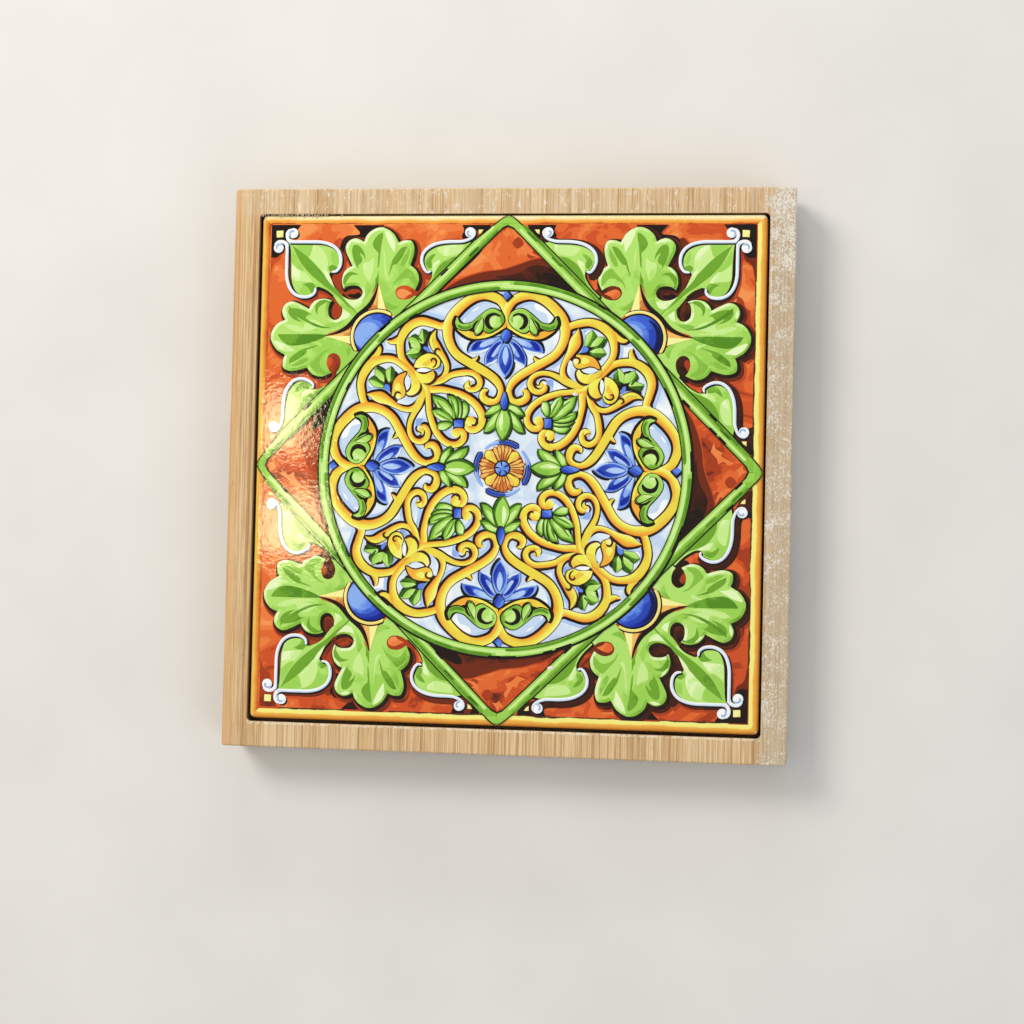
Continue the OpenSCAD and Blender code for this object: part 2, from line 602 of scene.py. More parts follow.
class Painter:
    """Lays painted marks on the glaze, each a hair above the last, as one piece of many colours."""

    def __init__(self, name: str, light: Point, level: int = 1) -> None:
        """Starts an empty piece.

        Args:
            name: the piece's name.
            light: direction that the painted light comes from.
            level: how many marks lie below its first.
        """
        self.name = name
        self.bm = bmesh.new()
        self.paint = self.bm.verts.layers.float_vector.new("paint")
        self.level = level
        self.place: Place = lambda p: p
        self.look: list[Enamel] = []
        self.light = Vector(light).normalized()
        self.fence = math.inf

    def at(self, place: Place) -> "Painter":
        """Sets where the next marks go, and gives itself back."""
        self.place = place
        return self

    def _tint(self, enamel: Enamel) -> int:
        """The material number of a colour in this piece."""
        if enamel not in self.look:
            self.look.append(enamel)
        return self.look.index(enamel)

    def _seat(self, vert: bmesh.types.BMVert, x: float, y: float, tone: float, across: float) -> None:
        """Puts a vertex on the glaze at the current level and gives it its tone.

        Args:
            vert: the vertex.
            x: its place on the tile, inside the fence.
            y: the same along Y.
            tone: its place on the colour's chart.
            across: its side of the stroke, from -1 to 1.
        """
        x, y = (max(-self.fence, min(self.fence, c)) for c in (x, y))
        z = glaze_height(x, y) + self.level * MARK_STEP
        vert.co = ((x + TILE_SHIFT[0]) * MM, (y + TILE_SHIFT[1]) * MM, z * MM)
        vert[self.paint] = (tone, across, 0.0)

    def line(self, enamel: Enamel, path: str | Sequence[Point], width: float | None = None,
             tones: Point = (0.0, 1.0), grow: float = 0.0, shift: float = 0.0, closed: bool = False,
             caps: bool = True, inset: float = 0.0, facing: bool = False) -> None:
        """Paints a ribbon along a path, pale on its lit side.

        Args:
            enamel: its colour.
            path: the middle line, with widths where width is None.
            width: one width for the whole line.
            tones: tone on the lit side and on the shaded side.
            grow: how much wider the line is on both sides together.
            shift: how far it moves towards the shade.
            closed: whether it returns to its start.
            caps: whether the ends are rounded.
            inset: how far it moves to its own left side.
            facing: whether the tone comes from the way the left side faces, not from across the line.
        """
        points = [self.place(p) for p in smooth(path, closed)]
        count = len(points)
        columns = count + 1 if closed else count
        flats = [Vector(p[:2]) for p in points]
        reach = [0.0]
        for a, b in zip(flats, flats[1:]):
            reach.append(reach[-1] + (b - a).length)
        rows: dict[int, list[Vector]] = {-1: [], 0: [], 1: []}
        turns: list[float] = []
        for i, flat in enumerate(flats):
            before = flats[i - 1] if (i or closed) else flat
            after = flats[(i + 1) % count] if (closed or i + 1 < count) else flat
            along = (after - before).normalized() if (after - before).length > 1e-9 else Vector((1.0, 0.0))
            left = Vector((-along.y, along.x))
            turns.append(left.dot(self.light))
            broad = (points[i][2] if width is None else width) + grow
            if caps and not closed:
                room = min(reach[i], reach[-1] - reach[i]) / max(broad * 0.5, 1e-6)
                if room < 1:
                    broad *= math.sqrt(max(0.03, 1 - (1 - room) ** 2))
            for k, row in rows.items():
                spot = flat + left * (k * broad / 2 + inset) - self.light * shift
                if row and (spot - row[-1]).dot(flat - flats[i - 1]) < 0:
                    spot = row[-1].copy()
                row.append(spot)
        if closed:
            for row in rows.values():
                last = count - 1
                while last > count // 2 and (row[0] - row[last]).dot(flats[0] - flats[last]) < 0:
                    row[last] = row[0].copy()
                    last -= 1
        made = bmesh.ops.create_grid(self.bm, x_segments=columns - 1, y_segments=2, size=1.0)
        ends: dict[tuple[int, int], bmesh.types.BMVert] = {}
        for vert in made["verts"]:
            column, across = round((vert.co.x + 1) / 2 * (columns - 1)), round(vert.co.y)
            spot, turn = rows[across][column % count], turns[column % count]
            share = 0.5 - 0.5 * turn if facing else 0.5 - 0.5 * across * turn
            self._seat(vert, spot.x, spot.y, tones[0] + (tones[1] - tones[0]) * share, across)
            if closed and column in (0, count):
                ends[column, across] = vert
        self._finish({f for v in made["verts"] for f in v.link_faces}, enamel)
        if closed:
            bmesh.ops.weld_verts(self.bm, targetmap={ends[count, k]: ends[0, k] for k in (-1, 0, 1)})

    def _finish(self, faces: set[bmesh.types.BMFace], enamel: Enamel) -> None:
        """Colours a mark's faces, turns them all upwards and goes up one level.

        Args:
            faces: the mark's faces.
            enamel: its colour.
        """
        tint = self._tint(enamel)
        for face in faces:
            face.material_index = tint
            face.normal_update()
            if face.normal.z < 0:
                face.normal_flip()
        self.level += 1

    def area(self, enamel: Enamel, path: str | Sequence[Point], tones: Point = (0.0, 1.0),
             shift: Point = (0.0, 0.0), scale: float = 1.0, clear: float = 0.0) -> None:
        """Paints a filled shape, with its tone running away from the light.

        Args:
            enamel: its colour.
            path: its outline.
            tones: tone on the lit side and on the shaded side.
            shift: how far it moves, after it is put in its place.
            scale: its size about its own middle.
            clear: radius of a circle about the ornament's centre that it keeps out of.
        """
        points = [Vector(self.place(p)[:2]) for p in smooth(path, True)]
        middle = sum(points, Vector((0.0, 0.0))) / len(points)
        points = [middle + (p - middle) * scale + Vector(shift) for p in points]
        if clear:
            points = [Vector(p) for p in beyond(points, clear)]
        turns = sum(a.cross(b) for a, b in zip(points, points[1:] + points[:1]))
        if turns < 0:
            points.reverse()
        heights = [p.dot(self.light) for p in points]
        low, high = min(heights), max(heights)
        verts = []
        for p, h in zip(points, heights):
            vert = self.bm.verts.new((0.0, 0.0, 0.0))
            share = (high - h) / max(high - low, 1e-6)
            self._seat(vert, p.x, p.y, tones[0] + (tones[1] - tones[0]) * share, 0.0)
            verts.append(vert)
        edges = [self.bm.edges.new(pair) for pair in zip(verts, verts[1:] + verts[:1])]
        made = bmesh.ops.triangle_fill(self.bm, use_beauty=True, edges=edges, normal=(0.0, 0.0, 1.0))
        self._finish({g for g in made["geom"] if isinstance(g, bmesh.types.BMFace)}, enamel)

    def patches(self, shapes: Sequence[tuple[str, float]], fall: float = 0.05) -> None:
        """Paints patches of leaf green, each nearly of one tone.

        Args:
            shapes: outlines with their tones.
            fall: how much darker a patch is away from the light.
        """
        for path, tone in shapes:
            self.area(LEAF, path, (tone - 0.03, tone + fall))

    def leaf(self, path: str, tones: Point = (0.1, 0.85), ink: float = 0.45,
             enamel: Enamel = LEAF, edge: Enamel = INK) -> None:
        """Paints a filled shape over its own dark outline, heavier towards the shade.

        Args:
            path: its outline.
            tones: tone on the lit side and on the shaded side.
            ink: how far the outline stands out.
            enamel: the shape's colour.
            edge: the outline's colour.
        """
        dark = (0.9, 1.0) if edge is LEAF else (0.4, 0.7)
        self.line(edge, path, ink * 2, dark, shift=ink * 0.45, closed=True)
        self.area(enamel, path, tones)

    def wedge(self, path: str) -> None:
        """Paints one pointed leaf: its outline, its body and a pale part on the lit side.

        Args:
            path: its outline.
        """
        self.line(LEAF, path, 0.85, (0.93, 1.0), shift=0.22, closed=True)
        self.area(LEAF, path, (0.46, 0.64))
        lit = (self.light.x * 0.2, self.light.y * 0.2)
        self.area(LEAF, path, (0.04, 0.35), shift=lit, scale=0.78)

    def scrolls(self, paths: Sequence[str]) -> None:
        """Paints scrolls that run into each other: washes first, then ink, then the gold.

        Args:
            paths: their middle lines with widths; the gold of the first comes to lie on top.
        """
        for path in paths:
            self.line(SKY, path, tones=(0.5, 0.64), grow=0.9, shift=1.25)
        for path in paths:
            self.line(SCROLL_INK, path, tones=(0.2, 0.95), grow=0.72, shift=0.3168)
        for path in reversed(paths):
            self.line(SCROLL, path, grow=-0.38, tones=(0.04, 1.0))

    def done(self) -> bpy.types.Object:
        """Turns the marks into a piece of the glaze that rides on the frame.

        Returns:
            The finished piece.
        """
        bmesh.ops.dissolve_degenerate(self.bm, dist=1e-8, edges=self.bm.edges[:])
        mesh = bpy.data.meshes.new(self.name)
        self.bm.to_mesh(mesh)
        self.bm.free()
        for enamel in self.look:
            mesh.materials.append(ENAMELS[enamel].material())
        piece = bpy.data.objects.new(self.name, mesh)
        bpy.context.scene.collection.objects.link(piece)
        wall = piece.modifiers.new("Enamel depth", "SOLIDIFY")
        wall.thickness = MARK_DEPTH * MM
        wall.offset = -1.0
        seat_piece(piece)
        return piece


def seat_piece(piece: bpy.types.Object) -> None:
    """Makes a piece ride on the frame."""
    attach(piece, "root")


def mesh_piece(name: str, bm: bmesh.types.BMesh, finish: bpy.types.Material) -> bpy.types.Object:
    """Turns a bmesh into a piece that rides on the frame.

    Args:
        name: the piece's name.
        bm: its mesh, which is freed.
        finish: its material.

    Returns:
        The piece.
    """
    bmesh.ops.recalc_face_normals(bm, faces=bm.faces[:])
    for face in bm.faces:
        face.smooth = True
    mesh = bpy.data.meshes.new(name)
    bm.to_mesh(mesh)
    bm.free()
    mesh.materials.append(finish)
    piece = bpy.data.objects.new(name, mesh)
    bpy.context.scene.collection.objects.link(piece)
    seat_piece(piece)
    return piece


@dataclass
class Medallion:
    """The round field: four turned copies of one drawing, lit from the left of each."""

    light: Point = (-0.9, 0.45)
    mirror: float = -0.6
    heart: str = (
        "-5,436,12 -5,454,20 -2,474,26 15,498,28 50,512,29 80,510,29 110,495,30 137,472,32 158,445,33 "
        "168,415,33 166,385,30 154,356,28 134,333,28 105,315,28 75,298,28 43,279,27 22,262,26 9,242,22 "
        "8,220,22 20,202,22 42,199,24 59,212,24 56,229,18 43,233,9")
    stem: str = "-5.5,450,12 -5.5,430,11 -5,412,9"
    branches: tuple[str, ...] = (
        "245,248,24 225,233,19 190,229,19 155,225,20 120,214,21 90,198,22 70,178,22 61,156,22 65,134,22 "
        "80,121,22 98,124,22 102,142,20 90,149,10",
        "236,240,24 223,220,24 223,190,22 217,160,22 208,130,23 192,102,24 170,80,25 142,67,25 117,74,25 "
        "105,94,24 113,110,22 130,109,18 138,98,10",
        "235,246,24 205,248,24 175,258,22 150,272,19 125,282,17 98,283,17 76,272,18 68,252,20 78,233,20 "
        "97,228,19 112,237,18 112,252,14",
        "242,240,22 242,225,21 250,190,20 265,165,20 272,135,21 273,105,21 262,84,20 244,76,20 228,84,20 "
        "223,102,19 230,116,16 242,119,8",
        "169,412,26 186,423,23 210,430,25 240,433,25 272,423,28 302,398,30 312,363,24 309,333,22 292,306,22 "
        "265,276,22 240,245,22",
        "240,245,22 274,275,20 308,307,22 340,317,24 376,314,26 410,290,29 424,256,28 417,220,25 410,194,24 "
        "420,174,24",
        "298,412,14 310,399,21 324,387,20 338,380,17 349,381,11 354,389,4",
        "372,314,26 365,330,21 362,345,15 366,359,5",
        "207,416,3 205,402,17 201,386,32 197,370,37 186,346,26 172,322,19 164,300,18 164,280,20 176,262,22 "
        "205,250,22",
        "242,218,16 254,193,16 270,180,17 290,176,18 312,184,19 330,197,24 348,210,29 366,219,26 384,218,16 "
        "400,210,3",
    )

    def sky(self, p: Painter) -> None:
        """Blue and white washes under the drawing.

        Args:
            p: the painter.
        """
        for side in (False, True):
            p.area(SKY, self.half("22,476 40,488 65,495 90,493 115,480 135,460 142,446 132,432 120,427 "
                                  "105,430 90,440 75,455 60,468 45,474 30,476", side), (0.5, 0.58))
            p.area(SKY, self.half("76,486 95,486 115,472 132,452 138,440 126,429 118,434 116,446 108,460 "
                                  "90,466 80,472", side), (0.08, 0.16))
            p.area(SKY, self.half("100,377 130,382 134,360 122,344 108,344", side), (0.36, 0.44))
        p.area(SKY, "114,262 123,266 136,262 137,246 132,235 123,235 118,248", (0.75, 0.85))
        p.area(SKY, "172,275 166,300 178,326 196,334 190,314 194,294 206,276 194,266", (0.45, 0.6))
        p.area(SKY, "265,314 275,330 288,332 284,314 275,306", (0.75, 0.85))
        p.area(SKY, "216,418 234,420 234,404 218,406", (0.7, 0.8))
        p.area(SKY, "266,212 278,218 296,200 292,188 278,190", (0.7, 0.8))
        p.area(SKY, "210,360 220,390 236,410 270,406 294,370 296,330 270,305 240,310 215,335", (0.2, 0.45))
        p.area(SKY, "295,274 315,296 350,304 386,290 402,258 398,226 365,235 330,236", (0.2, 0.45))
        p.area(SKY, "290,464 330,416 346,396 332,374 364,376 384,346 410,334 455,300 430,356 382,392 356,430",
               (0.02, 0.2))

    def half(self, path: str, left: bool) -> str:
        """A path of the heart's right half, or its mirror.

        Args:
            path: the path.
            left: whether it is mirrored into the left half.

        Returns:
            The path, with its sharp corners kept.
        """
        if not left:
            return path
        words = []
        for point, sharp in read(path):
            numbers = (2 * self.mirror - point[0], *point[1:])
            words.append(",".join(f"{n * TENTHS:g}" for n in numbers) + "!" * sharp)
        return " ".join(words)

    def gold(self, p: Painter) -> None:
        """The hearts, rings and scrolls.

        Args:
            p: the painter.
        """
        spur = "98,314,18 87,320,15 79,328,9 75,336,3"
        hearts = [self.heart, self.half(self.heart, True), self.stem, spur, self.half(spur, True)]
        p.scrolls([*hearts, *self.branches])
        for x, y, r in ((9.5, 14.4, 1.35), (13.1, 10.1, 1.45), (9.9, 24.9, 1.0), (24.0, 11.0, 1.0)):
            p.area(SCROLL, arc(r, 0, 315, (x, y), count=7), (0.05, 0.75))
        for hook in ("76,162,3 72.5,153,5.5 73.5,144,6.5 79,136,6.5 86,134,3",
                     "144,94,3 138,85,6 129,81,7.5 121,85,7.5 118,92,6 122,99,3",
                     "264,124,2 264,112,4 261,100,5 252,90,5 242,89,5 235,96,5 236,106,4 251,109,2",
                     "102,274,2 90,270,4.5 84,258,5 88,249,4.5 95,249,4 98,258,5 106,264,6 117,260,4"):
            p.line(SCROLL_INK, hook, tones=(0.3, 0.6))
        for side in (False, True):
            p.line(SCROLL_INK, self.half("15,236,4 19,218,6 28,210,7 40,214,6 46,220,3", side),
                   tones=(0.3, 0.6))

    def curled_leaf(self, p: Painter, left: bool) -> None:
        """The curled green leaf that lies in one half of the heart.

        Args:
            p: the painter.
            left: whether it is the left half.
        """
        h = self.half
        lit = (0.28, 0.62) if not left else (0.35, 0.7)
        p.area(INK, h("-6,432 -6,410 20,394 40,385 60,378 80,375 102,377 124,387 142,402 154,419 156,434 "
                      "148,452 134,446 120,430 60,405 20,420", left), (0.6, 0.8))
        p.area(SCROLL, h("-6,436 -6,419 20,404 40,393 60,386 80,383 100,385 120,395 139,410 143,420 120,412 "
                         "90,403 60,406 30,415 4,434", left), (0.45, 0.85))
        p.line(SCROLL, h("4,417,5 20,407,8 40,396,8 60,389,7 80,386,5", left), tones=(0.3, 0.5))
        p.leaf(h("1,436 2,448 8,460 20,469 35,473 50,469 65,459 80,446 95,433 110,428 123,427 134,433 "
                 "141,447 149,432 144,419 130,411 115,409 100,414 92,418 90,406 85,395 75,396 68,402 62,410 "
                 "55,404 42,402 30,408 18,415 8,424", left), lit, 0.32)
        p.line(LEAF, h("96,422,5 110,416,9 126,416,9 140,424,7", left), tones=(0.7, 0.86))
        p.line(LEAF, h("50,462,5 66,450,9 82,434,8 96,423,5", left), tones=(0.55, 0.75))
        p.line(LEAF, h("10,456,6 34,467,9 56,456,10 65,434,9 59,416,6", left), tones=(0.3, 0.6))
        p.line(INK, h("11,450,5 29,457,7 46,450,12 52,436,14 46,420,12 32,412,5", left), tones=(0.5, 0.6))
        p.area(LEAF, h("27,451 39,447 43,434 39,421 28,416 15,420 9,432 13,445", left), (0.1, 0.34))
        p.line(LEAF, h("12,450,4 9.5,440,6 14,431,4", left), tones=(0.55, 0.66))
        p.leaf(h("66,444 73,432 82,417 86,404 80,398 71,403 64,414 63,430", left), (0.12, 0.5), 0.25)
        p.line(INK, h("77,439,3 88,426,7 92,413,7 89,400,5", left), tones=(0.5, 0.6))
        p.line(INK, h("143,446,4 150,434,8 148,423,8 141,413,4", left), tones=(0.3, 0.6))

    def lotus(self, p: Painter) -> None:
        """The blue flower that hangs under the heart's leaves.

        Args:
            p: the painter.
        """
        h = self.half
        for left in (False, True):
            p.line(INK, h("83,382,8 98,372,9 106,356,7 108,345,4", left), tones=(0.6, 0.9))
            outer = h("8,390 30,387 60,380 85,375 100,362 106,344! 90,345 65,349 45,356 25,369", left)
            p.leaf(outer, (0.3, 0.48), 0.25, LOTUS)
            p.area(LOTUS, outer, (0.56, 0.72), scale=0.84)
            p.line(LOTUS, h("34,360,4 60,347,7 90,342,5 104,342,3", left), tones=(0.0, 0.12))
            p.area(LOTUS, h("12,388 34,384 58,376 71,364 66,358 46,364 26,374", left), (0.18, 0.3))
            p.area(LOTUS, h("66,377 84,373 94,357 92,349 80,354 74,364", left), (0.82, 0.9))
        for left in (False, True):
            inner = h("4,382 26,374 44,352 55,330 55,304! 36,312 20,328 9,346", left)
            p.leaf(inner, (0.32, 0.46), 0.25, LOTUS)
            p.area(LOTUS, inner, (0.6, 0.86), scale=0.82)
            p.line(LOTUS, h("16,326,4 30,314,6 42,309,5 52,303,3", left), tones=(0.0, 0.14))
            p.area(LOTUS, h("7,370 20,358 36,332 31,329 18,340 8,356", left), (0.14, 0.34))
            p.line(LOTUS, h("16,372,5 33,352,9 44,330,11 45,322,6", left), tones=(0.8, 0.9))
        p.line(INK, "21,317,5 17,296,8 6,276,8 -6,264,5", tones=(0.6, 0.9))
        middle = "-6,374 6,362 15,336 16,310 7,286 -6,269! -20,286 -29,310 -28,336 -18,362"
        p.leaf(middle, (0.32, 0.45), 0.25, LOTUS)
        p.area(LOTUS, middle, (0.58, 0.86), scale=0.82)
        p.line(LOTUS, "-28,314,4 -24,294,6 -14,279,6 -6,270,4", tones=(0.05, 0.25))
        p.area(LOTUS, "-6,362 1,348 2.5,330 -1,314 -6,305 -12,316 -15,332 -12,350", (0.12, 0.3))
        p.leaf("-6,411 6,402 8,388 -4,372 -17,384 -20,398", (0.4, 0.8), 0.35, LOTUS)
        p.line(INK, "9,389,7 4,377,8 -5,370,6", tones=(0.7, 0.9))

    def bud(self, p: Painter) -> None:
        """The bud and the fan of leaves between the flower and the rosette.

        Args:
            p: the painter.
        """
        h = self.half
        for left in (False, True):
            p.line(INK, h("53,154,3 46,152,9 32,155,7", left), tones=(0.4, 0.6))
            p.leaf(h("3,189 18,188 36,180 51,160! 34,162 12,170", left), (0.36, 0.6), 0.55, edge=LEAF)
            p.area(LEAF, h("9,184 24,185 44,168! 28,169 12,174", left), (0.12, 0.26))
            p.leaf(h("1,173 21,162 41,138 52,109! 37,112 22,124 8,148", left), (0.38, 0.62), 0.6, edge=LEAF)
            p.area(LEAF, h("9,164 22,156 36,136 41,122! 28,130 14,146", left), (0.12, 0.26))
        p.line(INK, "15,150,3 17,124,8 6,98,10 -9,83,4", tones=(0.5, 0.6))
        p.leaf("-7,179 6,160 11,134 4,108 -10,87! -23,108 -29,134 -21,160", (0.34, 0.52), 0.6, edge=LEAF)
        p.area(LEAF, "-8,170 2,154 6,130 -1,104 -10,92! -6,110 -4,134 -8,152", (0.42, 0.52))
        p.area(LEAF, "-12,166 -9,144 -11,114 -19,122 -21,142", (0.04, 0.12))
        p.leaf("-7,228 1,210 3.5,194 -1,180 -7,175 -13,180 -17,194 -14.5,210", (0.4, 0.8), 0.4, LOTUS)

    def sprig(self, p: Painter) -> None:
        """The blue calyx and its six leaves between the inner scrolls.

        Args:
            p: the painter.
        """
        for path in ("140,129 160,135 188,123! 175,111 155,111 140,120",
                     "140,138 170,145 199,142! 184,132 160,129 140,132",
                     "140,146 168,158 207,172! 200,152 180,142 154,140",
                     "136,152 154,184 180,208 204,216! 194,183 175,164 150,150",
                     "127,158 129,182 143,206 160,217! 163,196 150,173 136,158",
                     "120,158 104,178 106,199! 121,196 126,176"):
            p.wedge(path)
        for path in ("139,156,3 165,184,6 190,204,3", "144,146,3 174,154,6 196,162,3",
                     "131,160,3 143,186,6 155,208,3"):
            p.line(LEAF, path, tones=(0.72, 0.86))
        p.leaf("113,150! 133,150! 134,124! 114,123!", (0.35, 0.75), 0.45, LOTUS)
        for path in ("162,214,6 172,206,7 184,212,3", "204,170,6 208,162,6 206,152,3"):
            p.line(INK, path, tones=(0.4, 0.7))

    def ring_flowers(self, p: Painter) -> None:
        """The leaves, stars and buds inside the two rings.

        Args:
            p: the painter.
        """
        p.area(SKY, "183,322 177,300 178,284 189,268 204,258 210,259 201,272 199,288 203,299 193,314",
               (0.4, 0.52))
        bud = ("211,297! 217,289 225,283 238,280 252,282 266,288 276,296! 277,282 264,269 245,256! 234,254 "
               "222,257 212,264 206,274 204,284 207,292")
        p.line(SCROLL_INK, "214,298,3 204,289,7 203,276,9 210,262,10 224,253,10 241,253,4", tones=(0.2, 0.6))
        p.area(SCROLL, bud, (0.1, 0.68))
        p.area(SKY, "218,296 228,299 244,301 260,298 270,293! 256,287 240,284 228,286", (0.2, 0.5))
        p.line(SCROLL_INK, "213,299,4 218,290,5 227,284,5 240,282,2", tones=(0.3, 0.6))
        p.area(INK, "225,364 240,364 262,364 270,356 250,352 242,346 266,335 280,336! 270,322 256,329 "
                    "240,336 206,339! 218,348", (0.5, 0.7))
        bloom = ("204,339! 220,337.5 236,336 251,331 263,320 269,309 273,297! 265,298 256,303 242,305 "
                 "226,301 214,298 202,301 196,309 194,318 198,326")
        p.leaf(bloom, (0.55, 0.8), 0.34, SCROLL, SCROLL_INK)
        p.area(SCROLL, "221,330 232,329 242,320 234,313 222,312 218,320", (0.2, 0.32))
        p.area(SCROLL, "194,323 202,327 209,323 209,315 202,311 195,314", (0.04, 0.16))
        p.line(SCROLL_INK, "187,321,4 195,328,6 205,329.5,6 212.5,325,6 213,317,5.5 207,311,3",
               tones=(0.3, 0.6))
        self.star(p, (
            ("228,364 229,386 234,398 247,409! 249,396 243,382 235,368",
             "248,409! 259,395 260,386 250,376 242,364 234,366 244,384 248,398"),
            ("243,362! 252,378 262,389 283,390! 279,382 270,370 260,364",
             "248,360! 264,363 274,370 283,384 291,383! 286,372 280,362 270,358"),
            ("242,348! 256,355 275,359! 282,352 288,343! 270,344 254,343",
             "242,343! 260,344 289,342! 278,334 264,332 250,337")))
        p.area(LOTUS, "215,344! 223,360 231,362 238,356 233,347", (0.42, 0.56))
        big = ("288,274! 305,269 320,254 328,236 327,219 319,204 304,196 289,202 283,218 288,238 286,260")
        p.leaf(big, (0.14, 0.5), 0.34, SCROLL, SCROLL_INK)
        p.area(SCROLL, "292,234 299,224 303,209 314,208 316,222 308,236 296,250", (0.6, 0.72))
        p.line(SCROLL_INK, "286,219,3 294,210,5 306,207,6 314,214,6 311,222,5.5 303,221,3", tones=(0.4, 0.6))
        p.line(SCROLL_INK, "240,244,3 240,226,9 251,212,11 268,208,10 280,216,4", tones=(0.2, 0.6))
        p.area(SCROLL, "242,252! 241,232 250,217 265,211 278,217! 274,230 269,245 272,260 280,274! 260,266",
               (0.2, 0.7))
        p.line(SCROLL_INK, "282,272,3 273,258,5 270,244,5.5 274,230,5 279,218,3", tones=(0.3, 0.6))
        p.area(SKY, "276,266 283,260 286,242 280,224 274,240", (0.1, 0.3))
        p.area(INK, "324,246 340,234 370,234 394,224 390,240 374,254 366,290 356,292 340,286 330,264",
               (0.5, 0.7))
        self.star(p, (
            ("316,274 319,288 327,299! 340,286 348,272 347,256 332,262",
             "326,296! 328,274 332,254 328,252 314,272 319,286"),
            ("346,258 348,284 354,284 374,294! 376,278 364,262",
             "362,252 372,268 379,284! 384,272 376,260 366,250"),
            ("358,250 370,262 402,252! 388,246 370,243",
             "358,247! 374,248 400,250! 392,236 376,239")))
        p.area(LOTUS, "333,226! 340,244 348,247 349,236 340,227", (0.42, 0.56))
        p.line(SCROLL_INK, "324,206,3 333,213,6 342,209,6 343,201,5 336,196,3", tones=(0.4, 0.6))
        p.line(SCROLL, "346,216,4 364,225,8 382,221,5", tones=(0.3, 0.5))

    def star(self, p: Painter, leaves: Sequence[tuple[str, str]]) -> None:
        """Sharp leaves that spread like a star.

        Args:
            p: the painter.
            leaves: outlines of each leaf and of its dark wedge.
        """
        for lit, dark in leaves:
            p.line(LEAF, dark, 0.5, (0.95, 1.0), closed=True)
            p.line(LEAF, lit, 0.35, (0.85, 0.95), closed=True)
        for lit, _ in leaves:
            p.area(LEAF, lit, (0.14, 0.44))
        for _, dark in leaves:
            p.area(LEAF, dark, (0.84, 0.97))

    def tip(self, p: Painter) -> None:
        """The small blue diamond in the notch of the heart."""
        p.area(INK, "-5,530! 14,510! -5,492! -19,510!", (0.6, 0.8), shift=(0.1, -0.1))
        p.area(LOTUS, "-9,526! 6,510! -7,498! -18,512!", (0.45, 0.6))

    def build(self) -> list[bpy.types.Object]:
        """Paints the four turned copies.

        Returns:
            Their pieces.
        """
        pieces = []
        for quarter, side in enumerate(("back", "right", "front", "left")):
            turn = turned(quarter)
            origin = turn((CENTRE[0], CENTRE[1]))
            lit = turn((CENTRE[0] + self.light[0], CENTRE[1] + self.light[1]))
            light = (lit[0] - origin[0], lit[1] - origin[1])
            p = Painter(f"medallion_scrolls_{side}", light).at(turn)
            self.sky(p)
            self.gold(p)
            level = p.level
            pieces.append(p.done())
            p = Painter(f"medallion_foliage_{side}", light, level).at(turn)
            for left in (False, True):
                self.curled_leaf(p, left)
            self.lotus(p)
            self.bud(p)
            self.sprig(p)
            self.ring_flowers(p)
            self.tip(p)
            log.info("painted %s with %d marks", side, p.level)
            pieces.append(p.done())
        return pieces


